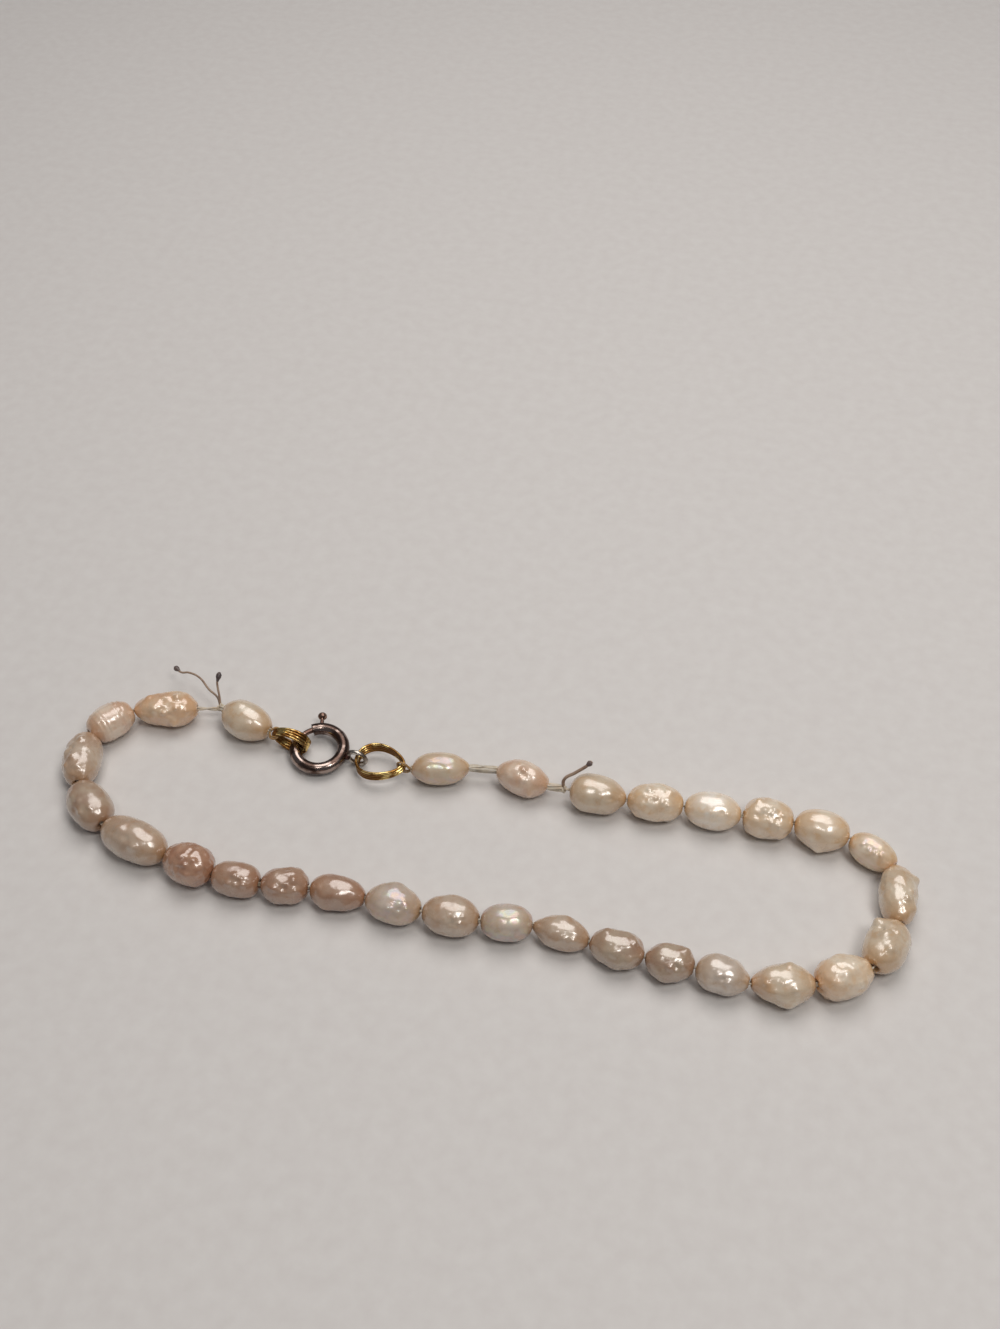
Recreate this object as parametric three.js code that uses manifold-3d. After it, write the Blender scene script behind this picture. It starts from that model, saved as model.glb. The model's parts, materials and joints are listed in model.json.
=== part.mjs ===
// Pearl bracelet: one string of baroque freshwater pearls, fastened with a spring ring.
// Lengths are in millimetres and +Z is up. The bracelet lies on the plane z = 0.
// +X runs along the loop's long way, and the front row of pearls is on the -Y side.
import * as THREE from "three";
import { mergeVertices } from "three/addons/utils/BufferGeometryUtils.js";
import Module from "manifold-3d";

const wasm = await Module();
wasm.setup();

const DEGREE = Math.PI / 180;
const UP = new THREE.Vector3(0, 0, 1);

// Thread: a doubled strand runs through every pearl, and is doubled again where it is tied back.
// Each loop round a coil starts inside its pearl, at a share of the way to the mouth.
const THREAD = 0.45;
const TIED_THREAD = 0.8;
const TAIL = 0.24;
const BURNT_TIP = 0.46;
const KNOT = 0.95;
const KNOT_PLAY = 0.05;
const LOOP_STRAND = 0.26;
const LOOP_PLAY = 0.15;
const LOOP_SLACK = 1.4;
const LOOP_ROOT = 0.5;
const LOOP_MOUTH = 0.25;

// Pearls: the typical body, of which the table of pearls gives shares
const PEARL_LENGTH = 5.2;
const PEARL_WIDTH = 4.0;
const PEARL_HEIGHT = 3.9;
const REST_SHARE = 0.92;
const BORE_PLAY = 0.14;
const MOUTH_LAND = 0.08;

// Bare thread between one pearl and the next
const SEAM = 0.2;
const BEND_SEAM = 0.64;
const KNOTTED_GAP = 2.7;
const TIED_GAP = 2.6;
const SHORT_TIED_GAP = 2.0;

// Spring ring: its angles are counted from the eye, anticlockwise seen from above
const RING = 6.0;
const RING_TUBE = 1.2;
const RING_WALL = 0.2;
const RING_TILT = 4;
const SEAT_ANGLE = 160;
const MOUTH_ANGLE = 128;
const EYE_WIRE = 0.4;
const EYE_PLAY = 0.1;
const SOLDER_DEPTH = 0.17;
const SOLDER_WIDTH = 0.95;

// Spring ring's bolt and its thumb lever
const BOLT_PLAY = 0.12;
const BOLT_SEATED = 8;
const BOLT_TRAVEL = 40;
const BOLT_STOCK = 46;
const LEVER_ANGLE = 107;
const LEVER_STEM = 0.42;
const LEVER_NECK = 0.45;
const LEVER_KNOB = 0.95;
const SLOT_PLAY = 0.1;

// Wire coils on the two ends of the string: flat loops of a few turns side by side
const COIL_WIRE = 0.32;
const COIL_TURNS = 4;
const COIL_PINCH = 0.55;
const NECK_SHARPNESS = 3;
const RIDGE_ANGLE = 50;
const LEFT_COIL = { length: 3.9, height: 2.6, taper: 0.1, slope: 15 };
const RIGHT_COIL = { length: 5.1, height: 3.9, taper: 0.22, slope: 5, roll: 10 };
const TIP_PLAY = 0.38;
const LIMB_LIFT = 0.12;
const EYE_SHIFT = 0.11;
const LEFT_NECK_GAP = 0.36;
const RIGHT_NECK_GAP = 0.6;

// How finely the round forms are cut into faces
const PEARL_SIDES = 12;
const PEARL_STATIONS = 9;
const THREAD_SIDES = 6;
const TUBE_SIDES = 10;
const BORE_SIDES = 8;
const ARC_STEP = 9;
const SLOT_STEPS = 4;
const COIL_STEPS = 26;
const EYE_STEPS = 18;
const EYE_SIDES = 8;
const KNOB_SIDES = 10;
const KNOB_RINGS = 8;
const KNOT_SIDES = 8;
const KNOT_RINGS = 6;
const ROUTE_DIVISIONS = 2000;

// The route of the string. Its points are the seams between pearls, marked by eye and worked out
// in millimetres on the table from the camera's height and tilt. It starts at the mouth of the
// first pearl, left of the clasp, and comes back to it through the clasp. It gives the form alone:
// the pearls and the clasp set the length.
const ROUTE = [
  [-22.2, 7.6], [-27.8, 9.4], [-30.5, 8.9], [-36.6, 7.2], [-39.4, 3.3], [-38.1, -2.5],
  [-34.0, -6.3], [-27.2, -8.3], [-22.2, -9.2], [-17.6, -9.3], [-13.1, -8.6], [-7.7, -8.5],
  [-2.4, -8.8], [3.0, -8.6], [7.8, -7.8], [13.0, -8.3], [18.1, -8.8], [22.6, -8.8],
  [27.5, -9.3], [33.1, -8.1], [37.7, -5.2], [39.5, -0.4], [38.9, 5.6], [35.0, 7.8],
  [29.9, 8.3], [25.0, 8.1], [19.5, 8.0], [14.0, 7.5], [8.3, 7.4], [6.3, 7.4],
  [0.8, 8.2], [-1.8, 7.8], [-7.5, 6.5], [-17.1, 7.0],
];

// The pearls in the order of the string.
// long, wide, tall: shares of the typical body.
// fat: where the widest section lies, from -1 at the pearl's start to 1 at its end.
// start, end: how full the pearl stays towards that end, 2 being an ellipse.
// after: the bare thread that follows.
// knobs: [along, degrees from the top towards the outside of the loop, rise as a share of wide].
const PEARL_COLUMNS = ["long", "wide", "tall", "fat", "start", "end", "after", "knobs"];
const PEARL_ROWS = [
  [1.10, 1.04, 1.00, 0.0, 1.5, 2.2, KNOTTED_GAP, [[0, -128, 0.05]]],
  [1.22, 0.96, 0.92, -0.25, 2.0, 1.7, BEND_SEAM, [[-0.35, 52, 0.06], [-0.3, -128, 0.04]]],
  [0.86, 0.96, 0.98, 0.0, 2.3, 2.4, BEND_SEAM, []],
  [1.09, 1.00, 0.98, 0.0, 2.3, 2.2, BEND_SEAM, [[0.1, 90, 0.04]]],
  [1.01, 1.06, 1.00, 0.0, 2.0, 2.8, BEND_SEAM, [[-0.2, 90, 0.03]]],
  [1.32, 1.06, 1.04, 0.0, 2.2, 2.4, SEAM, [[-0.2, 128, 0.02]]],
  [0.93, 1.06, 1.04, 0.05, 1.9, 2.6, SEAM, [[0, -52, 0.03]]],
  [0.86, 0.88, 0.90, 0.0, 3.0, 3.0, SEAM, []],
  [0.84, 0.90, 0.90, 0.0, 2.6, 2.8, SEAM, [[0.4, -52, 0.07], [-0.5, 128, 0.04]]],
  [0.99, 0.88, 0.88, -0.2, 2.3, 2.2, SEAM, [[-0.3, 128, 0.04]]],
  [0.99, 0.97, 0.96, 0.0, 2.0, 2.2, SEAM, [[-0.05, -52, 0.06]]],
  [1.00, 0.99, 0.98, 0.05, 2.2, 2.4, SEAM, [[0.1, -52, 0.03]]],
  [0.89, 0.92, 0.94, 0.0, 2.4, 2.4, SEAM, []],
  [0.98, 0.80, 0.82, 0.1, 1.5, 2.0, SEAM, [[0.05, -52, 0.04]]],
  [0.94, 0.91, 0.90, 0.0, 2.2, 2.4, SEAM, [[0.5, -52, 0.07], [0, 128, 0.04]]],
  [0.83, 0.88, 0.88, -0.1, 2.6, 2.2, SEAM, [[0.6, -52, 0.09], [-0.15, 128, 0.08]]],
  [0.90, 0.92, 0.92, -0.2, 2.4, 1.7, SEAM, [[-0.1, -52, 0.03]]],
  [1.07, 0.98, 0.94, 0.1, 1.5, 1.8, SEAM, [[0.1, 128, 0.08], [0.2, -52, 0.04]]],
  [0.96, 1.04, 1.00, -0.25, 2.4, 2.0, BEND_SEAM, [[0.3, 128, 0.04]]],
  [0.94, 1.02, 1.00, 0.0, 2.8, 2.6, BEND_SEAM, [[0.45, -90, 0.09], [-0.3, 90, 0.04]]],
  [1.10, 0.92, 0.94, 0.0, 2.4, 2.1, BEND_SEAM, [[0.35, 90, 0.06]]],
  [0.83, 0.84, 0.86, 0.0, 1.9, 2.3, BEND_SEAM, []],
  [0.95, 1.02, 1.02, 0.0, 2.2, 2.2, SEAM, [[0, -128, 0.1]]],
  [0.91, 1.04, 1.00, 0.0, 2.8, 2.8, SEAM, [[0.35, 52, 0.05]]],
  [1.03, 0.98, 0.98, 0.0, 2.2, 2.2, SEAM, [[-0.1, -128, 0.03]]],
  [1.02, 0.99, 0.98, 0.0, 2.4, 2.4, SEAM, [[-0.3, 52, 0.04]]],
  [1.06, 1.06, 1.02, 0.2, 1.8, 2.6, SHORT_TIED_GAP, []],
  [1.06, 0.91, 0.92, 0.0, 1.5, 1.7, TIED_GAP, [[-0.35, -128, 0.07], [0, 52, 0.03]]],
  [1.12, 0.88, 0.90, 0.0, 1.6, 2.0, 0, []],
];
const TIED_PEARLS = [0, 27, 28];
const KNOB_ALONG = 0.34;
const KNOB_AROUND = 42;

// The cut ends of the thread stand up from the knots: steps from the knot, in millimetres
const TAILS = {
  firstLong: [[-0.6, 0.9, 0.3], [-1.7, 1.5, 0.6], [-3.0, 2.5, 0.9], [-4.5, 3.1, 0.7], [-5.4, 3.2, 0.4],
    [-6.4, 3.8, 0.3]],
  firstShort: [[-0.2, 0.6, 0.7], [-0.6, 1.4, 1.5], [-0.7, 1.7, 1.8], [-0.7, 2.6, 2.3]],
  last: [[-0.1, 0.4, 0.9], [0.9, 0.9, 1.7], [1.8, 1.4, 2.3], [2.3, 1.8, 2.7]],
};

// Sizes that follow from the ones above
const bore = THREAD + 2 * BORE_PLAY;
const tiedBore = TIED_THREAD + 2 * BORE_PLAY;
const tubeBore = RING_TUBE - 2 * RING_WALL;
const bolt = tubeBore - 2 * BOLT_PLAY;
const ringRadius = (RING - RING_TUBE) / 2;
const band = COIL_WIRE * COIL_TURNS;
const eyeHole = Math.hypot(band, COIL_WIRE) + 2 * EYE_PLAY;
const eyeOuter = eyeHole / 2 + EYE_WIRE;
const eyeDistance = RING / 2 - SOLDER_DEPTH + eyeOuter;

// Colours and finishes
const gilt = new THREE.MeshStandardMaterial({ color: 0xb8923c, roughness: 0.3, metalness: 1 });
const tarnish = new THREE.MeshStandardMaterial({ color: 0x6f5850, roughness: 0.32, metalness: 1 });
const lever = new THREE.MeshStandardMaterial({ color: 0x8f7560, roughness: 0.35, metalness: 1 });
const nylon = new THREE.MeshStandardMaterial({ color: 0xd9cbb4, roughness: 0.5, metalness: 0 });

// Nacre turns from pink-brown at the left end of the loop to cream at the right
function nacre(share) {
  const color = new THREE.Color(0xd0aa93).lerp(new THREE.Color(0xddc9b2), share);
  return new THREE.MeshStandardMaterial({ color, roughness: 0.3, metalness: 0 });
}

function polygon(radius, sides) {
  const corners = [];
  for (let i = 0; i < sides; i += 1) {
    const angle = (2 * Math.PI * (i + 0.5)) / sides;
    corners.push(new THREE.Vector2(radius * Math.cos(angle), radius * Math.sin(angle)));
  }
  return corners;
}

// A part of a circle in the XY plane
class Arc extends THREE.Curve {
  constructor(radius, from, to) {
    super();
    Object.assign(this, { radius, from, to });
  }

  getPoint(t, target = new THREE.Vector3()) {
    const angle = (this.from + (this.to - this.from) * t) * DEGREE;
    return target.set(this.radius * Math.cos(angle), this.radius * Math.sin(angle), 0);
  }
}

// A strand bends at its listed points alone, so its steps fall on them whatever their spacing
class Strand extends THREE.Curve {
  constructor(points) {
    super();
    this.points = points;
  }

  getPoint(t, target = new THREE.Vector3()) {
    const place = t * (this.points.length - 1);
    const first = Math.min(Math.floor(place), this.points.length - 2);
    return target.lerpVectors(this.points[first], this.points[first + 1], place - first);
  }

  getUtoTmapping(u) {
    return u;
  }
}

function sweep(outline, path, steps, hole) {
  const shape = new THREE.Shape(outline);
  if (hole) shape.holes.push(new THREE.Path(hole));
  return new THREE.ExtrudeGeometry(shape, { steps, extrudePath: path, bevelEnabled: false });
}

function strand(points, width) {
  return sweep(polygon(width / 2, THREAD_SIDES), new Strand(points), points.length - 1);
}

// Welded solids, for joining and cutting
function solid(geometry) {
  const bare = geometry.clone();
  bare.deleteAttribute("normal");
  bare.deleteAttribute("uv");
  const welded = mergeVertices(bare);
  return new wasm.Manifold(new wasm.Mesh({
    numProp: 3,
    vertProperties: welded.attributes.position.array,
    triVerts: new Uint32Array(welded.index.array),
  }));
}

function geometryOf(body) {
  const { vertProperties, triVerts } = body.getMesh();
  const geometry = new THREE.BufferGeometry();
  geometry.setAttribute("position", new THREE.BufferAttribute(vertProperties, 3));
  geometry.setIndex(new THREE.BufferAttribute(triVerts, 1));
  geometry.computeVertexNormals();
  return geometry;
}

function join(geometries) {
  return geometries.map(solid).reduce((whole, part) => whole.add(part));
}

// A drilled pearl: its bore runs along X through the origin, Z is up and +Y is the loop's inside
function pearlGeometry({ long, wide, tall, fat, start, end, knobs }, drill) {
  const half = (long * PEARL_LENGTH) / 2;
  const side = (wide * PEARL_WIDTH) / 2;
  const top = (tall * PEARL_HEIGHT) / 2;
  const land = drill / 2 + MOUTH_LAND;
  const profile = [];
  for (let j = 0; j <= PEARL_STATIONS; j += 1) profile.push(new THREE.Vector2(1, j));
  profile.push(new THREE.Vector2(0, PEARL_STATIONS), new THREE.Vector2(0, 0), profile[0]);
  const geometry = new THREE.LatheGeometry(profile, PEARL_SIDES);
  const { position, uv } = geometry.attributes;
  for (let i = 0; i < position.count; i += 1) {
    const around = 2 * Math.PI * (uv.getX(i) + 0.5 / PEARL_SIDES);
    const corner = profile[Math.round(uv.getY(i) * (profile.length - 1))];
    const along = -Math.cos((Math.PI * corner.y) / PEARL_STATIONS);
    const outside = Math.sin(around);
    const up = Math.cos(around);
    if (corner.x === 0) {
      position.setXYZ(i, along * half, (-outside * drill) / 2, (up * drill) / 2);
      continue;
    }
    const reach = along < fat ? (fat - along) / (fat + 1) : (along - fat) / (1 - fat);
    const full = Math.sqrt(1 - reach ** (along < fat ? start : end));
    const share = knobs.reduce((sum, knob) => sum + knobRise(knob, along, around), 0);
    const rise = share * wide * PEARL_WIDTH * full;
    const y = -outside * (land + (side - land) * full + rise);
    const z = up * (land + (top - land) * full + rise);
    position.setXYZ(i, along * half, y, Math.max(z, -top * REST_SHARE));
  }
  geometry.computeBoundingBox();
  return geometry;
}

function knobRise([place, degrees, rise], along, around) {
  const turn = THREE.MathUtils.euclideanModulo(around / DEGREE - degrees + 180, 360) - 180;
  return rise * Math.exp(-(((along - place) / KNOB_ALONG) ** 2) - (turn / KNOB_AROUND) ** 2);
}

// The section of a coil: the turns lie side by side, and each shows as a ridge
function bandSection() {
  const corners = [];
  const radius = COIL_WIRE / 2;
  const ridge = [-RIDGE_ANGLE, 0, RIDGE_ANGLE];
  const across = (turn) => (turn - (COIL_TURNS - 1) / 2) * COIL_WIRE;
  const add = (turn, degrees) => corners.push({
    out: radius * Math.cos(degrees * DEGREE),
    across: across(turn) + radius * Math.sin(degrees * DEGREE),
  });
  for (let turn = 0; turn < COIL_TURNS; turn += 1) ridge.forEach((angle) => add(turn, angle));
  add(COIL_TURNS - 1, 90);
  for (let turn = COIL_TURNS - 1; turn >= 0; turn -= 1) ridge.forEach((angle) => add(turn, 180 + angle));
  add(0, 270);
  return corners;
}

// A coil in the XY plane about the origin: its neck, pinched by the thread, points along +X
function coilGeometry({ length, height, taper }) {
  const halfLength = (length - COIL_WIRE) / 2;
  const halfHeight = (height - COIL_WIRE) / 2;
  const section = bandSection();
  const geometry = new THREE.TorusGeometry(1, 0.5, section.length, COIL_STEPS);
  const { position, uv } = geometry.attributes;
  for (let i = 0; i < position.count; i += 1) {
    const turn = 2 * Math.PI * uv.getX(i);
    const corner = section[Math.round(uv.getY(i) * section.length) % section.length];
    const neck = ((1 + Math.cos(turn)) / 2) ** NECK_SHARPNESS;
    const run = new THREE.Vector2(
      -halfLength * Math.sin(turn),
      halfHeight * (Math.cos(turn) - taper * Math.cos(2 * turn)),
    );
    const pace = run.length();
    const out = corner.out * (1 + COIL_PINCH * neck);
    const x = halfLength * Math.cos(turn) + (out * run.y) / pace;
    const y = halfHeight * Math.sin(turn) * (1 - taper * Math.cos(turn)) - (out * run.x) / pace;
    position.setXYZ(i, x, y, corner.across * (1 - COIL_PINCH * neck));
  }
  return geometry;
}

// How far a coil's neck reaches from the coil's centre, to the middle of its wires and past them
function neckReach({ length }) {
  const middle = (length - COIL_WIRE) / 2;
  return { middle, outer: middle + (COIL_WIRE / 2) * (1 + COIL_PINCH) };
}

// The frame of a coil in the clasp: X towards its neck, Z across its turns
function coilFrame(along, across, centre) {
  const frame = new THREE.Matrix4();
  const inPlane = new THREE.Vector3().crossVectors(across, along);
  return frame.makeBasis(along, inPlane, across).setPosition(centre);
}

// The left coil stands on edge round the ring's tube, opposite the eye
function leftCoilFrame() {
  const slope = LEFT_COIL.slope * DEGREE;
  const along = new THREE.Vector3(-Math.cos(slope), 0, Math.sin(slope));
  const inPlane = new THREE.Vector3(Math.sin(slope), 0, Math.cos(slope));
  const reach = neckReach(LEFT_COIL).middle - COIL_WIRE / 2 - RING_TUBE / 2 - TIP_PLAY;
  const centre = new THREE.Vector3(-ringRadius, 0, 0);
  centre.addScaledVector(along, reach).addScaledVector(inPlane, LIMB_LIFT);
  return coilFrame(along, new THREE.Vector3(0, 1, 0), centre);
}

// The right coil lies nearly flat, its far bend through the ring's eye
function rightCoilFrame() {
  const slope = RIGHT_COIL.slope * DEGREE;
  const along = new THREE.Vector3(Math.cos(slope), 0, Math.sin(slope));
  const across = new THREE.Vector3(-Math.sin(slope), 0, Math.cos(slope));
  across.applyAxisAngle(along, RIGHT_COIL.roll * DEGREE);
  const centre = new THREE.Vector3(eyeDistance + EYE_SHIFT, 0, 0);
  centre.addScaledVector(along, neckReach(RIGHT_COIL).middle);
  return coilFrame(along, across, centre);
}

// The hollow ring with the lever's slot, and the eye soldered to it
function ringGeometry() {
  const sweepAngle = 360 + MOUTH_ANGLE - SEAT_ANGLE;
  const path = new Arc(ringRadius, SEAT_ANGLE, SEAT_ANGLE + sweepAngle);
  const steps = Math.round(sweepAngle / ARC_STEP);
  const skin = polygon(RING_TUBE / 2, TUBE_SIDES);
  const tube = sweep(skin, path, steps, polygon(tubeBore / 2, BORE_SIDES));
  const eyeRadius = (eyeHole + EYE_WIRE) / 2;
  const eye = new THREE.TorusGeometry(eyeRadius, EYE_WIRE / 2, EYE_SIDES, EYE_STEPS);
  eye.rotateX(90 * DEGREE);
  eye.translate(eyeDistance, 0, 0);
  const solder = new THREE.CylinderGeometry(SOLDER_WIDTH / 2, SOLDER_WIDTH / 2, EYE_WIRE, TUBE_SIDES);
  solder.rotateZ(90 * DEGREE);
  solder.translate(RING / 2 - SOLDER_DEPTH + EYE_WIRE / 2, 0, 0);
  return geometryOf(join([tube, eye, solder]).subtract(solid(slotCutter())));
}

// The slot opens the outer wall from the lever's seat to the end of its travel
function slotCutter() {
  const width = LEVER_STEM + 2 * SLOT_PLAY;
  const margin = Math.asin(width / 2 / ringRadius);
  const from = (LEVER_ANGLE - BOLT_TRAVEL) * DEGREE - margin;
  const to = LEVER_ANGLE * DEGREE + margin;
  const sector = new THREE.Shape();
  sector.absarc(0, 0, ringRadius + RING_TUBE, from, to, false);
  sector.absarc(0, 0, ringRadius, to, from, true);
  const cutter = new THREE.ExtrudeGeometry(sector, {
    depth: width,
    bevelEnabled: false,
    curveSegments: SLOT_STEPS,
  });
  cutter.translate(0, 0, -width / 2);
  return cutter;
}

// The bolt bridges the ring's gap inside the tube and carries the lever and its knob
function triggerGeometry() {
  const path = new Arc(ringRadius, LEVER_ANGLE - BOLT_STOCK, SEAT_ANGLE + BOLT_SEATED);
  const sweepAngle = SEAT_ANGLE + BOLT_SEATED - LEVER_ANGLE + BOLT_STOCK;
  const rod = sweep(polygon(bolt / 2, BORE_SIDES), path, Math.round(sweepAngle / ARC_STEP));
  const reach = RING_TUBE / 2 + LEVER_NECK + LEVER_KNOB / 2;
  const stem = new THREE.CylinderGeometry(LEVER_STEM / 2, LEVER_STEM / 2, reach, BORE_SIDES);
  stem.rotateZ(-90 * DEGREE);
  stem.translate(ringRadius + reach / 2, 0, 0);
  const knob = new THREE.SphereGeometry(LEVER_KNOB / 2, KNOB_SIDES, KNOB_RINGS);
  knob.translate(ringRadius + reach, 0, 0);
  for (const piece of [stem, knob]) piece.rotateZ(LEVER_ANGLE * DEGREE);
  return geometryOf(join([rod, stem, knob]));
}

// The string: pearls laid along the route, which is stretched until they and the clasp fill it
function layString(pearls, claspSpan) {
  const form = new THREE.CatmullRomCurve3(ROUTE.map(([x, y]) => new THREE.Vector3(x, y, 0)), true);
  form.arcLengthDivisions = ROUTE_DIVISIONS;
  const bodies = pearls.reduce((sum, pearl) => sum + pearl.long * PEARL_LENGTH + pearl.after, 0);
  const length = bodies + claspSpan;
  const stretch = length / form.getLength();
  const pointAt = (distance) => form.getPointAt(distance / length).multiplyScalar(stretch);
  let reached = 0;
  for (const pearl of pearls) {
    const body = pearl.long * PEARL_LENGTH;
    const start = pointAt(reached);
    const end = pointAt(reached + body);
    pearl.centre = start.clone().lerp(end, 0.5);
    pearl.heading = end.sub(start).normalize();
    reached += body + pearl.after;
  }
  return { first: pointAt(0), last: pointAt(reached) };
}

// A pearl stands on its lowest face, so its bore lies as high as its body is deep below it
function placePearl(pearl, index, count) {
  const geometry = pearlGeometry(pearl, TIED_PEARLS.includes(index) ? tiedBore : bore);
  const mesh = new THREE.Mesh(geometry, nacre(index / count));
  mesh.name = `pearl_${String(index + 1).padStart(2, "0")}`;
  pearl.centre.z = -geometry.boundingBox.min.z;
  const inside = new THREE.Vector3().crossVectors(UP, pearl.heading);
  mesh.applyMatrix4(new THREE.Matrix4().makeBasis(pearl.heading, inside, UP).setPosition(pearl.centre));
  return mesh;
}

// A point on a pearl's bore, counted from its start mouth at -1 to its end mouth at 1
function onBore(pearl, share) {
  return pearl.centre.clone().addScaledVector(pearl.heading, (share * pearl.long * PEARL_LENGTH) / 2);
}

// A knot sits against the mouth that the tied thread comes out of
function knotCentre(pearl) {
  return onBore(pearl, 1).addScaledVector(pearl.heading, KNOT / 2 + KNOT_PLAY);
}

function ball(centre, width) {
  const sphere = new THREE.SphereGeometry(width / 2, KNOT_SIDES, KNOT_RINGS);
  return sphere.translate(centre.x, centre.y, centre.z);
}

// The thread leaves the pearl, goes round the coil's pinched neck and comes back
function threadLoop(pearl, side, coil, frame) {
  const root = onBore(pearl, side * LOOP_ROOT);
  const mouth = onBore(pearl, side);
  const neck = new THREE.Vector3(neckReach(coil).middle, 0, 0).applyMatrix4(frame);
  const spread = new THREE.Vector3().setFromMatrixColumn(frame, 2);
  const out = neck.clone().sub(mouth).normalize();
  const clear = LOOP_STRAND / 2 + LOOP_PLAY;
  const wide = (band / 2) * (1 - COIL_PINCH) + clear;
  const deep = (COIL_WIRE / 2) * (1 + COIL_PINCH) + LOOP_SLACK * clear;
  const narrow = LOOP_MOUTH * wide;
  const at = (origin, along, across) =>
    origin.clone().addScaledVector(out, along).addScaledVector(spread, across);
  return strand([
    root, at(mouth, 0, narrow), at(neck, -deep / 2, wide), at(neck, deep / 2, wide), at(neck, deep, 0),
    at(neck, deep / 2, -wide), at(neck, -deep / 2, -wide), at(mouth, 0, -narrow), root,
  ], LOOP_STRAND);
}

function tail(knot, steps) {
  const points = steps.map(([x, y, z]) => new THREE.Vector3(x, y, z).add(knot));
  return [strand([knot, ...points], TAIL), ball(points.at(-1), BURNT_TIP)];
}

function threadGeometry(pearls, leftFrame, rightFrame) {
  const first = pearls[0];
  const last = pearls.at(-1);
  const tiedBack = pearls[TIED_PEARLS[1] - 1];
  const knots = [knotCentre(first), knotCentre(tiedBack)];
  const tiedPearls = TIED_PEARLS.slice(1).map((index) => pearls[index]);
  const mouths = (list) => list.flatMap((pearl) => [onBore(pearl, -1), onBore(pearl, 1)]);
  const pieces = [
    strand(mouths(pearls), THREAD),
    strand([onBore(first, -1), knots[0]], TIED_THREAD),
    strand([knots[1], ...mouths(tiedPearls)], TIED_THREAD),
    threadLoop(first, -1, LEFT_COIL, leftFrame),
    threadLoop(last, 1, RIGHT_COIL, rightFrame),
    ...knots.map((knot) => ball(knot, KNOT)),
    ...tail(knots[0], TAILS.firstLong),
    ...tail(knots[0], TAILS.firstShort),
    ...tail(knots[1], TAILS.last),
  ];
  return geometryOf(join(pieces));
}

function namedMesh(name, geometry, material) {
  const mesh = new THREE.Mesh(geometry, material);
  mesh.name = name;
  return mesh;
}

// The clasp lies between the string's ends: its ring is held up by the eye, which stands on edge
function makeClasp(first, last, ringAt) {
  const along = last.clone().sub(first).normalize();
  const centre = first.clone().addScaledVector(along, ringAt).setZ(eyeOuter);
  const clasp = new THREE.Group();
  clasp.applyMatrix4(coilFrame(along, UP, centre));
  const ring = new THREE.Group();
  ring.rotation.x = RING_TILT * DEGREE;
  ring.add(namedMesh("clasp_ring", ringGeometry(), tarnish));
  ring.add(namedMesh("clasp_trigger", triggerGeometry(), lever));
  const left = namedMesh("end_coil_left", coilGeometry(LEFT_COIL), gilt);
  left.applyMatrix4(leftCoilFrame());
  const right = namedMesh("end_coil_right", coilGeometry(RIGHT_COIL), gilt);
  right.applyMatrix4(rightCoilFrame());
  clasp.add(ring, left, right);
  clasp.updateMatrixWorld(true);
  return { clasp, left, right };
}

// How far from the ring's centre a coil's neck lets the string begin
function mouthDistance(frame, coil, gap) {
  const neck = new THREE.Vector3(neckReach(coil).outer, 0, 0).applyMatrix4(frame);
  return Math.abs(neck.x) + gap;
}

function makeBracelet() {
  const named = (row) => row.map((value, column) => [PEARL_COLUMNS[column], value]);
  const pearls = PEARL_ROWS.map((row) => Object.fromEntries(named(row)));
  const ringAt = mouthDistance(leftCoilFrame(), LEFT_COIL, LEFT_NECK_GAP);
  const claspSpan = ringAt + mouthDistance(rightCoilFrame(), RIGHT_COIL, RIGHT_NECK_GAP);
  const { first, last } = layString(pearls, claspSpan);
  const { clasp, left, right } = makeClasp(first, last, ringAt);
  const bracelet = new THREE.Group();
  bracelet.add(...pearls.map((pearl, index) => placePearl(pearl, index, pearls.length)));
  bracelet.add(namedMesh("thread", threadGeometry(pearls, left.matrixWorld, right.matrixWorld), nylon));
  bracelet.add(clasp);
  return bracelet;
}

// The origin is the middle of the bracelet's box, on the plane it lies on
const bracelet = makeBracelet();
const middle = new THREE.Box3().setFromObject(bracelet, true).getCenter(new THREE.Vector3());
bracelet.position.set(-middle.x, -middle.y, 0);

export default bracelet;
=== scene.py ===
# %% [markdown]
# # A string of baroque pearls, fastened in a loop
# The bracelet is 29 freshwater pearls on nylon thread, with a wire coil at each end of the string
# and a small spring ring that joins the two coils. The solids of it come packed as a fixed frame,
# and this lesson gives each of them its looks.
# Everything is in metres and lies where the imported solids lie, with +Z up.

# %% Load the frame
import json
import math

import bmesh
import bpy
from mathutils import Matrix, Vector

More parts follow.
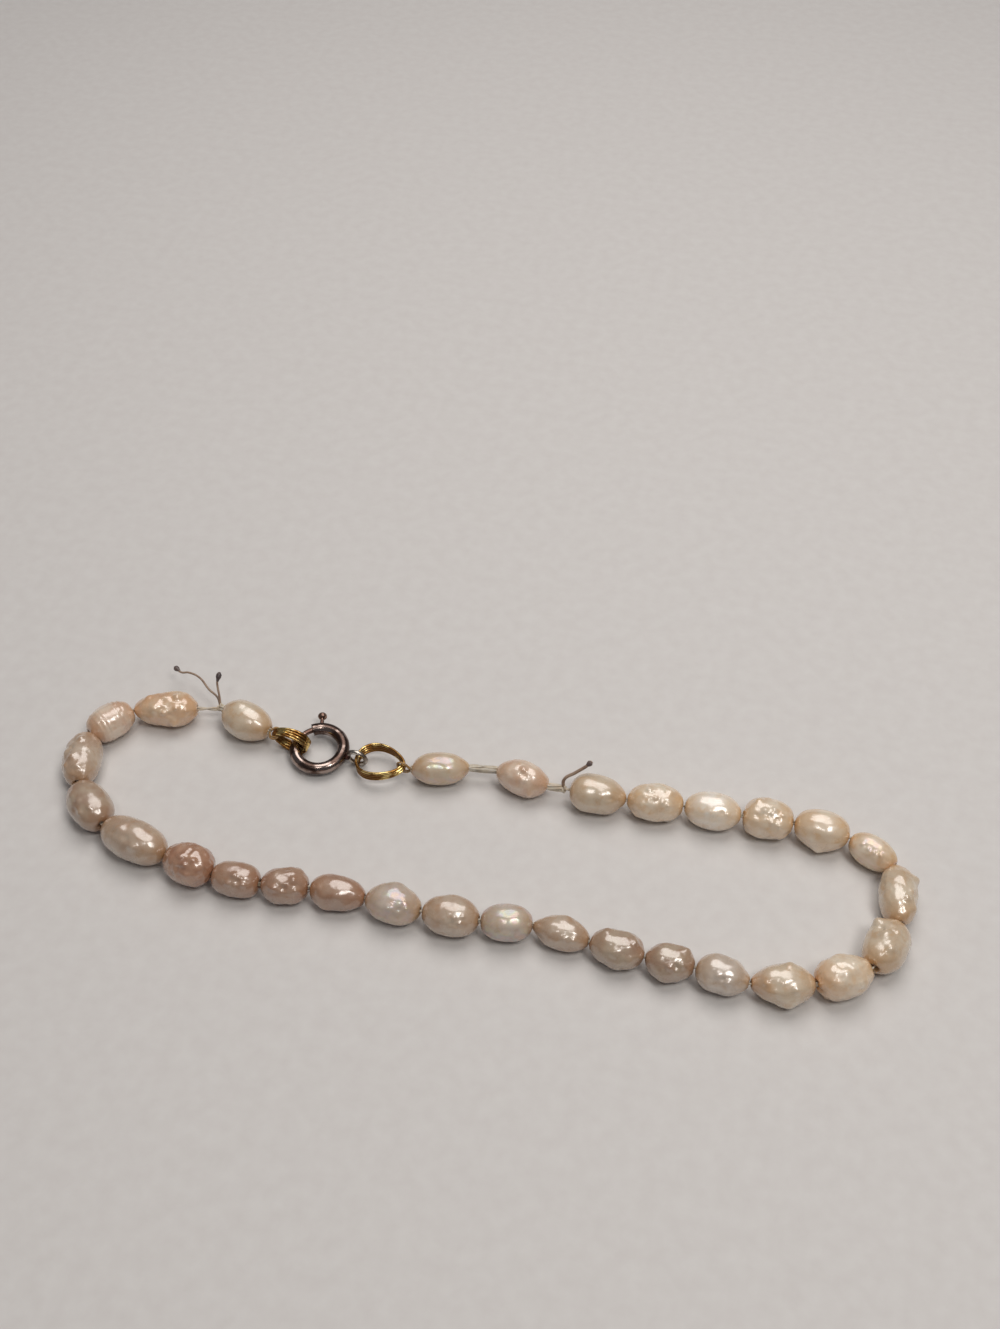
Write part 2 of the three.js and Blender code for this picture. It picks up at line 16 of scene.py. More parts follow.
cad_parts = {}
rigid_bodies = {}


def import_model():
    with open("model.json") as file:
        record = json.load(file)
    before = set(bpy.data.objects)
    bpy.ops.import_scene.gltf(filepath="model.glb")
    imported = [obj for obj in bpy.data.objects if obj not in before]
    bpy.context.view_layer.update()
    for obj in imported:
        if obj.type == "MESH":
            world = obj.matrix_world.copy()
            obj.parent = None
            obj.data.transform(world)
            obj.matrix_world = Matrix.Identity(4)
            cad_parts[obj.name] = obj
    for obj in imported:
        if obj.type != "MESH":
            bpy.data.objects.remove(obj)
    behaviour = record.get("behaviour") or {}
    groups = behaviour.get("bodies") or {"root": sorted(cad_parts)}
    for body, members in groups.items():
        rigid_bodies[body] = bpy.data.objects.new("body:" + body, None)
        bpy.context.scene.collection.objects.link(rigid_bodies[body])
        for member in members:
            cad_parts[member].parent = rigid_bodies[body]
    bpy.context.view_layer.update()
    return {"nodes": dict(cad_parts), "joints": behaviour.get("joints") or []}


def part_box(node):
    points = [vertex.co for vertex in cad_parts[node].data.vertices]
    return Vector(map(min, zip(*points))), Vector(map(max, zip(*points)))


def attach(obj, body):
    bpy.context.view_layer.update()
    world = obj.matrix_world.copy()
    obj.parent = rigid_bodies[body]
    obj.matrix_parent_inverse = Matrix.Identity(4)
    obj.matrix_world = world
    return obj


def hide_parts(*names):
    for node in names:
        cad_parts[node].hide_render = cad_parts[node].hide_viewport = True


MM = 0.001
DEGREE = math.pi / 180
UP = Vector((0, 0, 1))

bpy.ops.object.select_all(action="SELECT")
bpy.ops.object.delete()
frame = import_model()
nodes = frame["nodes"]

# %% [markdown]
# ## Working as by hand
# Blender's operators act on whatever is selected, so every step starts by selecting one thing.
# Points are then picked in code, by their place, where a hand would click on them.

# %% Select one piece
def take(piece):
    if bpy.context.mode != "OBJECT":
        bpy.ops.object.mode_set(mode="OBJECT")
    bpy.ops.object.select_all(action="DESELECT")
    piece.select_set(True)
    bpy.context.view_layer.objects.active = piece


def new_piece(name):
    piece = bpy.context.object
    piece.name = name
    piece.data.name = name
    return piece


def settle(piece):
    """Puts the piece's place, turn and size into its mesh."""
    take(piece)
    bpy.ops.object.transform_apply(location=True, rotation=True, scale=True)


def apply_modifier(piece, kind, **settings):
    take(piece)
    modifier = piece.modifiers.new(kind.title(), kind)
    for key, value in settings.items():
        setattr(modifier, key, value)
    bpy.ops.object.modifier_apply(modifier=modifier.name)


def pick(piece, wanted, element="verts"):
    """Selects, in edit mode, the points, edges or faces that the test wants."""
    mesh = bmesh.from_edit_mesh(piece.data)
    for part in [*mesh.faces, *mesh.edges, *mesh.verts]:
        part.select = False
    for part in getattr(mesh, element):
        if wanted(part):
            part.select_set(True)
    mesh.select_flush_mode()
    bmesh.update_edit_mesh(piece.data)


def edit(piece, mode="VERT"):
    take(piece)
    bpy.ops.object.mode_set(mode="EDIT")
    bpy.ops.mesh.select_mode(type=mode)


def close_edit(merge=None):
    """Ends an edit: doubles are merged first, and the faces then turned outwards."""
    bpy.ops.mesh.select_all(action="SELECT")
    if merge:
        bpy.ops.mesh.remove_doubles(threshold=merge)
    bpy.ops.mesh.normals_make_consistent(inside=False)
    bpy.ops.object.mode_set(mode="OBJECT")


# %% [markdown]
# ## Colours and nodes
# Colours are written as they look on a screen. A shader counts in light, so one function turns
# each of them to linear, and one small function adds a node with its settings and links.

# %% Colour and node helpers
def linear(colour, alpha=1.0):
    channels = [int(colour[i:i + 2], 16) / 255 for i in (1, 3, 5)]
    return (*[c / 12.92 if c <= 0.04045 else ((c + 0.055) / 1.055) ** 2.4 for c in channels], alpha)


def add_node(material, kind, sockets=None, **settings):
    node = material.node_tree.nodes.new("ShaderNode" + kind)
    for key, value in settings.items():
        setattr(node, key, value)
    for key, value in (sockets or {}).items():
        if isinstance(value, bpy.types.NodeSocket):
            material.node_tree.links.new(value, node.inputs[key])
        elif isinstance(value, str):
            node.inputs[key].default_value = linear(value)
        else:
            node.inputs[key].default_value = value
    return node


def new_material(name):
    material = bpy.data.materials.new(name)
    material.use_nodes = True
    material.node_tree.nodes.clear()
    return material


def finish_material(material, surface):
    add_node(material, "OutputMaterial", {"Surface": surface.outputs["BSDF"]})
    return material


def mottle(material, size, low=0.0, high=1.0, start=0.0, end=1.0, detail=3.0):
    """Soft patches of about that size in metres, from low where the noise is start to high where
    it is end."""
    place = add_node(material, "TexCoord").outputs["Object"]
    noise = add_node(material, "TexNoise", {"Vector": place, "Scale": 1 / size, "Detail": detail})
    return add_node(material, "MapRange", {
        "Value": noise.outputs["Fac"], "From Min": start, "From Max": end,
        "To Min": low, "To Max": high}).outputs["Result"]


# %% [markdown]
# ## Where the string runs
# Each pearl is drilled from end to end. The ring of flat faces round a bore's mouth points along
# the string, and no other direction is shared by as many level faces of the solid. That gives the
# bore's two mouths without writing 58 points down.

# %% Measure the bores
PEARL_COUNT = 29
PEARLS = [f"pearl_{number:02d}" for number in range(1, PEARL_COUNT + 1)]


def middle_of(node):
    low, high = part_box(node)
    return (low + high) / 2


def bore_of(node, onwards):
    """The two mouths of a pearl's bore, the first one where the string comes from."""
    mesh = nodes[node].data
    level = {}
    for face in mesh.polygons:
        if abs(face.normal.z) < 0.002:
            key = (round(face.normal.x, 2), round(face.normal.y, 2))
            level.setdefault(key, []).append(face)
    mouths = []
    for faces in sorted(level.values(), key=len)[-2:]:
        corners = [mesh.vertices[i].co for face in faces for i in face.vertices]
        mouths.append(sum(corners, Vector()) / len(corners))
    return sorted(mouths, key=lambda mouth: mouth.dot(onwards))


centres = [middle_of(name) for name in PEARLS]
bores = []
for index, name in enumerate(PEARLS):
    onwards = centres[min(index + 1, PEARL_COUNT - 1)] - centres[max(index - 1, 0)]
    bores.append(bore_of(name, onwards))
print("bore lengths in mm:", [round((end - start).length / MM, 2) for start, end in bores])

# %% [markdown]
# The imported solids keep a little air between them. Real pearls on a tight string touch, so each
# one is drawn out towards its neighbour, apart from where the thread shows bare between knots.

# %% Close the seams
BARE_THREAD = 1.0 * MM
SEAM_SHARE = 0.44
SEAM_MOST = 0.26 * MM


def growth(first, second):
    gap = (second - first).length
    return min(gap * SEAM_SHARE, SEAM_MOST) if gap < BARE_THREAD else 0.0


mouths = []
for index, (start, end) in enumerate(bores):
    heading = (end - start).normalized()
    before = growth(bores[index - 1][1], start) if index else 0.0
    after = growth(end, bores[index + 1][0]) if index < PEARL_COUNT - 1 else 0.0
    mouths.append((start - heading * before, end + heading * after))

# %% [markdown]
# ## Pearls
# A baroque pearl grows round a scrap of tissue, not a bead, so it has shoulders, humps, ribs and
# pits. It could be sculpted from a lump or grown from noise. Here a sphere is drawn down on the
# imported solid, so that each pearl keeps its own size and place. It is smoothed and drilled, and
# then each hump that the eye knows the pearl by is pulled out with a soft falloff.
# A hump is written as [along, around, rise, reach]: along runs from -1 at the pearl's first mouth
# to 1 at its last, around is in degrees from the top towards the outside of the loop, and rise and
# reach are in millimetres. A negative rise is a dent.

# %% Pearl forms
SPHERE_SEGMENTS = 48
SPHERE_RINGS = 30
MOUTH_CUT = 0.42 * MM
BORE_RADIUS = 0.22 * MM
WIDE_BORE_RADIUS = 0.36 * MM
MOUTH_REACH = 1.2 * MM
SKIN_LIFT = 0.06 * MM
WELD = 0.005 * MM
HUMP_GAIN = 1.8
HUMP_NEAREST = 0.8 * MM
WIDE_BORES = ("pearl_01", "pearl_28", "pearl_29")

HUMPS = {
    "pearl_01": [(0.0, -75, 0.08, 1.2), (0.35, 10, 0.06, 1.0)],
    "pearl_02": [(0.26, -38, 0.16, 0.8), (-0.02, -52, 0.11, 0.45), (-0.39, 6, 0.18, 0.6),
        (-0.42, -38, 0.13, 0.42), (-0.70, -48, 0.1, 0.45), (-0.30, -92, 0.2, 0.7),
        (0.02, -10, -0.1, 0.5), (-0.2, -60, -0.07, 0.4), (0.5, 20, 0.08, 0.6)],
    "pearl_03": [(0.1, 60, 0.06, 0.9)],
    "pearl_04": [(-0.45, 0, 0.14, 0.6), (0.0, 50, 0.1, 0.6), (0.25, 20, 0.1, 0.45),
        (0.5, 50, 0.12, 0.5), (-0.1, 25, -0.1, 0.45), (0.6, 5, 0.08, 0.5), (-0.4, 55, 0.06, 0.6)],
    "pearl_05": [(0.05, 30, 0.08, 0.5), (0.4, 50, 0.1, 0.45), (0.5, 15, 0.08, 0.45),
        (-0.4, 40, 0.06, 0.7), (0.15, 55, -0.06, 0.4)],
    "pearl_06": [(-0.3, 10, 0.07, 0.9), (0.3, 45, 0.09, 0.7), (0.0, 30, -0.06, 0.6)],
    "pearl_07": [(-0.1, 15, 0.1, 0.45), (0.15, 35, 0.11, 0.4), (0.4, 15, 0.1, 0.45),
        (-0.3, 75, -0.13, 0.5), (-0.05, 50, -0.1, 0.4), (0.3, 60, 0.08, 0.5),
        (-0.5, 30, 0.06, 0.5), (0.1, -5, -0.06, 0.4)],
    "pearl_08": [(0.1, 20, 0.09, 0.45), (-0.1, 50, 0.09, 0.45), (0.5, 45, 0.09, 0.4),
        (0.25, 38, -0.08, 0.4)],
    "pearl_09": [(-0.35, 40, 0.12, 0.6), (0.45, 10, 0.12, 0.6), (0.55, 50, 0.09, 0.45),
        (0.05, 40, -0.13, 0.5), (0.1, -30, -0.06, 0.6)],
    "pearl_10": [(0.1, 40, 0.09, 1.1), (-0.6, 25, 0.06, 0.6), (0.4, 75, 0.06, 0.8),
        (-0.3, 100, 0.08, 1.0)],
    "pearl_11": [(-0.05, -48, 0.08, 1.3), (0.0, 45, 0.08, 0.6), (0.6, 35, 0.1, 0.4),
        (0.35, 40, -0.07, 0.35)],
    "pearl_12": [(0.2, 35, 0.08, 0.35), (0.4, 50, 0.08, 0.32), (0.5, 28, 0.07, 0.32),
        (0.3, 62, 0.07, 0.35), (0.15, 52, -0.05, 0.3), (0.1, -50, 0.04, 1.3)],
    "pearl_13": [(0.0, 40, 0.03, 1.0)],
    "pearl_14": [(0.0, -48, 0.08, 1.2), (0.2, 45, 0.07, 0.45), (0.5, 45, 0.07, 0.4),
        (0.35, 45, -0.05, 0.3)],
    "pearl_15": [(0.6, -15, 0.13, 0.55), (-0.5, -35, 0.1, 0.7), (0.0, 42, 0.08, 0.7),
        (0.1, 88, 0.09, 1.2), (0.55, 60, 0.06, 0.5)],
    "pearl_16": [(0.6, -30, 0.14, 0.7), (-0.15, 92, 0.1, 1.2), (0.0, 45, 0.09, 0.5),
        (0.5, 30, 0.1, 0.5), (0.25, 40, -0.08, 0.4)],
    "pearl_17": [(-0.15, 35, 0.09, 0.5), (0.25, 48, 0.1, 0.5), (0.05, 42, -0.07, 0.35),
        (0.3, 80, 0.06, 0.6), (-0.4, 70, 0.06, 0.7)],
    "pearl_18": [(-0.6, 25, 0.09, 0.4), (0.3, 45, 0.09, 0.7), (0.1, 96, 0.12, 1.4),
        (-0.1, 60, 0.06, 1.0), (-0.32, 30, -0.06, 0.8), (0.2, -40, 0.1, 0.8)],
    "pearl_19": [(-0.1, 20, 0.08, 1.1), (0.45, 55, 0.08, 0.9), (0.0, -60, 0.08, 1.0)],
    "pearl_20": [(0.5, -60, 0.2, 0.9), (0.0, -10, 0.1, 0.8), (-0.35, 20, 0.1, 0.7),
        (0.3, 10, 0.08, 0.5), (0.15, -35, -0.1, 0.6)],
    "pearl_21": [(0.5, 70, 0.18, 0.9), (-0.35, 20, 0.1, 0.5), (-0.1, 35, 0.08, 0.4),
        (-0.2, 50, -0.08, 0.4), (0.3, 0, 0.06, 0.7), (-0.6, 60, 0.08, 0.7)],
    "pearl_22": [(0.42, -30, 0.09, 0.36), (0.12, -32, 0.09, 0.32), (-0.14, -32, 0.09, 0.32),
        (-0.42, -30, 0.09, 0.36), (0.27, -31, -0.05, 0.25), (0.0, -31, -0.05, 0.25),
        (-0.28, -31, -0.05, 0.25)],
    "pearl_23": [(0.0, -112, 0.1, 0.8), (-0.2, -40, 0.04, 1.0)],
    "pearl_24": [(0.2, -10, 0.12, 0.45), (-0.15, -5, 0.12, 0.4), (-0.1, -45, 0.12, 0.4),
        (-0.4, -52, 0.11, 0.38), (-0.5, -20, 0.08, 0.4), (0.5, 25, 0.14, 0.7),
        (0.02, -28, -0.1, 0.35), (0.45, -30, -0.07, 0.5), (-0.3, -35, -0.07, 0.3)],
    "pearl_25": [(0.05, -42, 0.05, 0.9), (-0.5, -40, 0.06, 0.45), (-0.3, -40, -0.03, 0.35)],
    "pearl_26": [(0.25, 5, 0.1, 0.4), (0.0, -22, 0.09, 0.36), (-0.22, -34, 0.09, 0.34),
        (-0.45, -42, 0.09, 0.36), (0.1, -8, -0.06, 0.3), (-0.12, -30, -0.05, 0.25),
        (-0.5, 10, 0.08, 0.6), (0.3, -80, 0.06, 0.8)],
    "pearl_27": [(-0.15, -42, 0.05, 0.8), (-0.7, -40, 0.06, 0.4), (-0.5, -40, -0.04, 0.35)],
    "pearl_28": [(-0.05, -5, 0.1, 0.5), (-0.15, -42, 0.1, 0.5), (-0.1, -24, -0.05, 0.5),
        (-0.45, -95, 0.14, 0.6), (0.5, -30, 0.05, 0.5)],
    "pearl_29": [(-0.2, -42, 0.04, 0.9), (0.5, -35, 0.03, 0.6)],
}

# %% [markdown]
# The skin between the humps isn't quite even either. Fine swellings of the nacre break the light
# into beads. Four skins cover them, each with a size and a depth in millimetres for the swellings
# and for a finer grain. One pearl also has ribs round it, and most are drawn in at their ends.

# %% Pearl skins
SKINS = {
    "smooth": {"swell": (1.6, 0.08), "grain": (0.6, 0.008)},
    "soft": {"swell": (1.2, 0.14), "grain": (0.5, 0.02)},
    "knobbly": {"swell": (1.0, 0.22), "grain": (0.45, 0.03)},
    "pitted": {"swell": (0.65, 0.24), "grain": (0.35, 0.04)},
}
SKIN_OF = {
    "smooth": (1, 13, 23, 25, 27, 29),
    "soft": (3, 5, 6, 8, 10, 11, 12, 14, 17, 18, 22, 28),
    "knobbly": (2, 4, 9, 15, 16, 20, 21, 24, 26),
    "pitted": (7, 19),
}
# how many ribs, and how far they rise in millimetres
RIBS = {"pearl_03": (8, 0.05)}
# how far the two ends are drawn in, as a share of their width
TAPERS = {
    "pearl_01": (0.8, 0.7), "pearl_02": (0.85, 0.62), "pearl_06": (0.85, 0.8),
    "pearl_07": (0.9, 0.82), "pearl_09": (0.8, 0.88), "pearl_10": (0.7, 0.82),
    "pearl_11": (0.72, 0.82), "pearl_12": (0.78, 0.85), "pearl_13": (0.85, 0.85),
    "pearl_14": (0.6, 0.8), "pearl_15": (0.8, 0.85), "pearl_16": (0.7, 0.8),
    "pearl_17": (0.85, 0.78), "pearl_18": (0.6, 0.82), "pearl_19": (0.82, 0.9),
    "pearl_21": (0.9, 0.8), "pearl_22": (0.82, 0.85), "pearl_25": (0.78, 0.8),
    "pearl_26": (0.85, 0.78), "pearl_27": (0.65, 0.9), "pearl_28": (0.6, 0.55),
    "pearl_29": (0.45, 0.6),
}
TAPER_REACH = 1.8 * MM
RIM_REACH = 0.6 * MM
RIB_FROM = 0.2
RIB_SPAN = 0.6
RIB_HALF = 0.045 * MM
TABLE_TOUCH = 0.01 * MM
print("humps:", sum(len(rows) for rows in HUMPS.values()), "drawn-in pearls:", len(TAPERS))

# %% [markdown]
# ## Shaping a pearl
# Each change is one step of hand modelling, written as a function: drill the bore, pull the humps,
# let out the ribs, draw in the ends, roughen the skin and press the resting points level.
# The bore comes before the humps, because its two poles would pinch the pulled skin.

# %% Steps of the hand
def reach_out(place, start, end):
    """How far a point lies from the bore's line."""
    line = (end - start).normalized()
    off = place - start
    return (off - line * off.dot(line)).length


def pearl_point(name, along, around):
    """The direction in which a hump lies, and a point on the bore below it."""
    start, end = mouths[PEARLS.index(name)]
    heading = (end - start).normalized()
    outside = heading.cross(UP)
    direction = UP * math.cos(around * DEGREE) + outside * math.sin(around * DEGREE)
    return start.lerp(end, (along + 1) / 2), direction


def drill(piece, start, end, radius):
    """Opens the two poles and draws a wall through the pearl between them."""
    edit(piece)
    pick(piece, lambda point: reach_out(point.co, start, end) < MOUTH_CUT)
    bpy.ops.mesh.delete(type="VERT")
    for mouth in (start, end):
        pick(piece, lambda edge: edge.is_boundary and min(
            (v.co - mouth).length for v in edge.verts) < MOUTH_REACH, "edges")
        bpy.ops.mesh.extrude_edges_move()
        mesh = bmesh.from_edit_mesh(piece.data)
        rim = [point for point in mesh.verts if point.select]
        wide = sum(reach_out(point.co, start, end) for point in rim) / len(rim)
        bpy.ops.transform.resize(value=(radius / wide,) * 3, center_override=mouth)
    pick(piece, lambda edge: edge.is_boundary, "edges")
    bpy.ops.mesh.bridge_edge_loops()
    close_edit(merge=WELD)


def pull_humps(piece, name):
    edit(piece)
    for along, around, rise, reach in HUMPS[name]:
        below, direction = pearl_point(name, along, around)

        def aim(point):
            """How straight the point lies that way. The bore's wall, too near, scores less."""
            off = point.co - below
            miss = 0.5 if off.dot(direction) < HUMP_NEAREST else 0
            return off.normalized().dot(direction) - miss

        spot = max(bmesh.from_edit_mesh(piece.data).verts, key=aim).co.copy()
        pick(piece, lambda point: (point.co - spot).length < 1e-6)
        bpy.ops.transform.translate(
            value=direction * rise * HUMP_GAIN * MM, use_proportional_edit=True,
            proportional_edit_falloff="SMOOTH", proportional_size=reach * MM)
    close_edit()


def press_ribs(piece, name):
    """Fine ribs round the pearl, each a ring of points that is let out a little."""
    count, rise = RIBS[name]
    start, end = mouths[PEARLS.index(name)]
    line = (end - start).normalized()
    length = (end - start).length
    edit(piece)
    for rib in range(count):
        place = (RIB_FROM + RIB_SPAN * rib / (count - 1)) * length
        pick(piece, lambda point: abs((point.co - start).dot(line) - place) < RIB_HALF
             and reach_out(point.co, start, end) > RIM_REACH)
        bpy.ops.transform.shrink_fatten(value=rise * MM)
    close_edit()


def press_flat(piece):
    """Nothing may sink into the table: the lowest points are pressed level with it."""
    edit(piece)
    pick(piece, lambda point: point.co.z < TABLE_TOUCH)
    bpy.ops.transform.resize(value=(1, 1, 0), center_override=(0, 0, 0))
    bpy.ops.object.mode_set(mode="OBJECT")


def roughen(piece, kind, size, depth):
    texture = bpy.data.textures.new(piece.name + "_" + kind.lower(), kind)
    texture.noise_scale = size * MM
    apply_modifier(piece, "DISPLACE", texture=texture, texture_coords="LOCAL",
                   strength=depth * MM, mid_level=0.5)
    bpy.data.textures.remove(texture)


def draw_in(piece, name):
    """Narrows the two ends of a pearl that tapers."""
    edit(piece)
    start, end = mouths[PEARLS.index(name)]
    for mouth, share in zip((start, end), TAPERS[name]):
        pick(piece, lambda point: (point.co - mouth).length < RIM_REACH)
        bpy.ops.transform.resize(
            value=(share,) * 3, center_override=mouth, use_proportional_edit=True,
            proportional_edit_falloff="SMOOTH", proportional_size=TAPER_REACH)
    close_edit()


# %% [markdown]
# A sphere shrunk onto faceted solids takes their edges, so it is smoothed right after. Subdivision
# comes after the bore, so that the mouths are rounded with the rest.

# %% Make the pearls
def make_pearl(name):
    start, end = bores[PEARLS.index(name)]
    low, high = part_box(name)
    radius = (high.z - low.z) / 2
    heading = (end - start).normalized()
    bpy.ops.mesh.primitive_uv_sphere_add(
        segments=SPHERE_SEGMENTS, ring_count=SPHERE_RINGS, radius=radius,
        location=(start + end) / 2, rotation=heading.to_track_quat("Z", "Y").to_euler(),
        scale=(1, 1, (end - start).length / 2 / radius))
    piece = new_piece("nacre_" + name)
    apply_modifier(piece, "SHRINKWRAP", target=nodes[name], offset=SKIN_LIFT)
    apply_modifier(piece, "SMOOTH", factor=0.5, iterations=5)
    length = (end - start).length
    start, end = mouths[PEARLS.index(name)]
    piece.scale.z *= (end - start).length / length
    piece.location = (start + end) / 2
    settle(piece)
    drill(piece, start, end, WIDE_BORE_RADIUS if name in WIDE_BORES else BORE_RADIUS)
    apply_modifier(piece, "SUBSURF", levels=1, render_levels=1)
    if name in TAPERS:
        draw_in(piece, name)
    pull_humps(piece, name)
    if name in RIBS:
        press_ribs(piece, name)
    number = PEARLS.index(name) + 1
    skin = next(SKINS[key] for key, numbers in SKIN_OF.items() if number in numbers)
    roughen(piece, "CLOUDS", *skin["swell"])
    roughen(piece, "CLOUDS", *skin["grain"])
    press_flat(piece)
    piece.data.shade_smooth()
    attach(piece, "bracelet")
    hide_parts(name)
    return piece


pearls = [make_pearl(name) for name in PEARLS]
print("faces of the pearls:", sum(len(piece.data.polygons) for piece in pearls))

# %% [markdown]
# ## Nacre
# A pearl's skin is nacre: thousands of thin plates of aragonite, clear and stacked. Light goes a
# little way in and comes back soft, and the stack adds a breath of pink and green. Its index is
# about 1.6, but every layer of the stack reflects a share, so its gloss is set as strong as that
# of a denser skin. The body colours run from pink-brown at one end of this string to cream at the
# other. Ten tones cover them, and each pearl names its own. Every pearl is warmer and darker towards
# its mouths: partly its own staining there, and partly painted shade where it meets its neighbours.
# The V of a sphere's own UV map runs from mouth to mouth, so it drives that tint.

# %% Nacre of each pearl
# each tone's last colour paints both random stained patches and the mouths' tint, which is partly
# painted shade
TONES = {
    "brown_rose": {"body": "#BC967C", "patches": "#A0765E", "stain_and_shade": "#9C6A4C"},
    "rose": {"body": "#B1947E", "patches": "#A48069", "stain_and_shade": "#9E6E4C"},
    "taupe": {"body": "#B7A48E", "patches": "#A88D78", "stain_and_shade": "#A07757"},
    "greige": {"body": "#C6B4A0", "patches": "#B59B85", "stain_and_shade": "#AD835B"},
    "grey": {"body": "#CFC1B3", "patches": "#BFAE9E", "stain_and_shade": "#B7936B"},
    "sand": {"body": "#D9C9B2", "patches": "#CBB59A", "stain_and_shade": "#C59B6B"},
    "pale_peach": {"body": "#E3CFBA", "patches": "#D3B199", "stain_and_shade": "#CB9F77"},
    "peach": {"body": "#E5CDAF", "patches": "#D9B18F", "stain_and_shade": "#D3A577"},
    "cream": {"body": "#EADBC5", "patches": "#DDC5A9", "stain_and_shade": "#D5A973"},
    "ivory": {"body": "#F5EBDF", "patches": "#EBDCC7", "stain_and_shade": "#DFB987"},
}
# tone and roughness of each pearl
NACRE = {
    "pearl_01": ("sand", 0.24), "pearl_02": ("peach", 0.22), "pearl_03": ("pale_peach", 0.25),
    "pearl_04": ("greige", 0.22), "pearl_05": ("taupe", 0.33), "pearl_06": ("greige", 0.27),
    "pearl_07": ("brown_rose", 0.26), "pearl_08": ("rose", 0.26), "pearl_09": ("rose", 0.25),
    "pearl_10": ("rose", 0.24), "pearl_11": ("grey", 0.25), "pearl_12": ("greige", 0.28),
    "pearl_13": ("grey", 0.26), "pearl_14": ("greige", 0.24), "pearl_15": ("taupe", 0.25),
    "pearl_16": ("taupe", 0.24), "pearl_17": ("grey", 0.22), "pearl_18": ("sand", 0.24),
    "pearl_19": ("cream", 0.30), "pearl_20": ("sand", 0.24), "pearl_21": ("sand", 0.26),
    "pearl_22": ("cream", 0.20), "pearl_23": ("cream", 0.21), "pearl_24": ("cream", 0.20),
    "pearl_25": ("ivory", 0.24), "pearl_26": ("cream", 0.24), "pearl_27": ("sand", 0.22),
    "pearl_28": ("pale_peach", 0.24), "pearl_29": ("sand", 0.20),
}
# first mouths whose staining and painted shade are a stronger orange than their tone's
STAINED_SHADED_MOUTHS = {"pearl_10": "#A87040", "pearl_18": "#B67E48", "pearl_19": "#D59B5D"}
PATCH = 1.6 * MM
STAIN = 0.9 * MM
STAIN_SHARE = 0.45
GLOSS_PATCH = 0.8 * MM
GROWTH = 0.22 * MM
GROWTH_RISE = 0.012 * MM
NACRE_IOR = 1.6
LUSTRE_IOR = 1.85
NACRE_DEPTH = 0.5 * MM
NACRE_SCATTER = (1.0, 0.75, 0.6)
GLOSS_RANGE = (-0.05, 0.08)
# where the mouths' tint, partly painted shade, begins and ends, along the pearl from 0 to 1
FIRST_TINT_AND_SHADE = (0.06, 0.42)
LAST_TINT_AND_SHADE = (0.6, 0.94)
FILM_PATCH = 0.7 * MM
FILM_SPREAD = 70
# thickness of the top plates in nanometres, where their colours show
PLATE_FILM = {"pearl_13": 390, "pearl_11": 320, "pearl_22": 300, "pearl_29": 330}


def make_nacre(name):
    material = new_material("nacre_" + name.split("_")[1])
    tone, gloss = NACRE[name]
    stain_and_shade = TONES[tone]["stain_and_shade"]
    around = add_node(material, "TexCoord").outputs["UV"]
    along = add_node(material, "SeparateXYZ", {"Vector": around}).outputs["Y"]
    # partly painted shade: each pearl is tinted darker and warmer towards both mouths, where it
    # meets its neighbours
    near_first_shade = add_node(material, "MapRange", {
        "Value": along, "From Min": FIRST_TINT_AND_SHADE[0], "From Max": FIRST_TINT_AND_SHADE[1],
        "To Min": 1, "To Max": 0})
    near_last_shade = add_node(material, "MapRange", {
        "Value": along, "From Min": LAST_TINT_AND_SHADE[0], "From Max": LAST_TINT_AND_SHADE[1],
        "To Min": 0, "To Max": 1})
    layers = (
        (mottle(material, PATCH, start=0.38, end=0.66), TONES[tone]["patches"]),
        (mottle(material, STAIN, high=STAIN_SHARE, start=0.52, end=0.7), stain_and_shade),
        (near_first_shade.outputs["Result"], STAINED_SHADED_MOUTHS.get(name, stain_and_shade)),
        (near_last_shade.outputs["Result"], stain_and_shade),
    )
    colour = TONES[tone]["body"]
    for share, over in layers:
        mixed = add_node(material, "Mix", {0: share, 6: colour, 7: over}, data_type="RGBA")
        colour = mixed.outputs[2]
    grain = add_node(material, "Bump", {
        "Height": mottle(material, GROWTH, detail=4.0), "Distance": GROWTH_RISE, "Strength": 0.5})
    film = 0
    if name in PLATE_FILM:
        film = mottle(material, FILM_PATCH, PLATE_FILM[name] - FILM_SPREAD,
                      PLATE_FILM[name] + FILM_SPREAD, 0.35, 0.65)
    surface = add_node(material, "BsdfPrincipled", {
        "Base Color": colour, "IOR": NACRE_IOR, "Normal": grain.outputs["Normal"],
        "Roughness": mottle(
            material, GLOSS_PATCH, gloss + GLOSS_RANGE[0], gloss + GLOSS_RANGE[1], 0.35, 0.65),
        "Subsurface Weight": 0.1, "Subsurface Radius": NACRE_SCATTER,
        "Subsurface Scale": NACRE_DEPTH,
        "Coat Weight": 1.0, "Coat Roughness": 0.2, "Coat IOR": LUSTRE_IOR,
        "Thin Film Thickness": film, "Thin Film IOR": 1.4,
    })
    return finish_material(material, surface)


for piece, name in zip(pearls, PEARLS):
    piece.data.materials.clear()
    piece.data.materials.append(make_nacre(name))
print("nacre materials:", len(NACRE))

# %% [markdown]
# ## Wire and thread
# The coils, the thread, its knots and its tails are all long round things. They could be lofted
# by hand, but a curve with a round bevel keeps one thickness along any path, so each bundle is
# drawn as curves and then made a mesh.

# %% A bundle of strands
CURVE_STEPS = 10
CURVE_WELD = 0.001 * MM


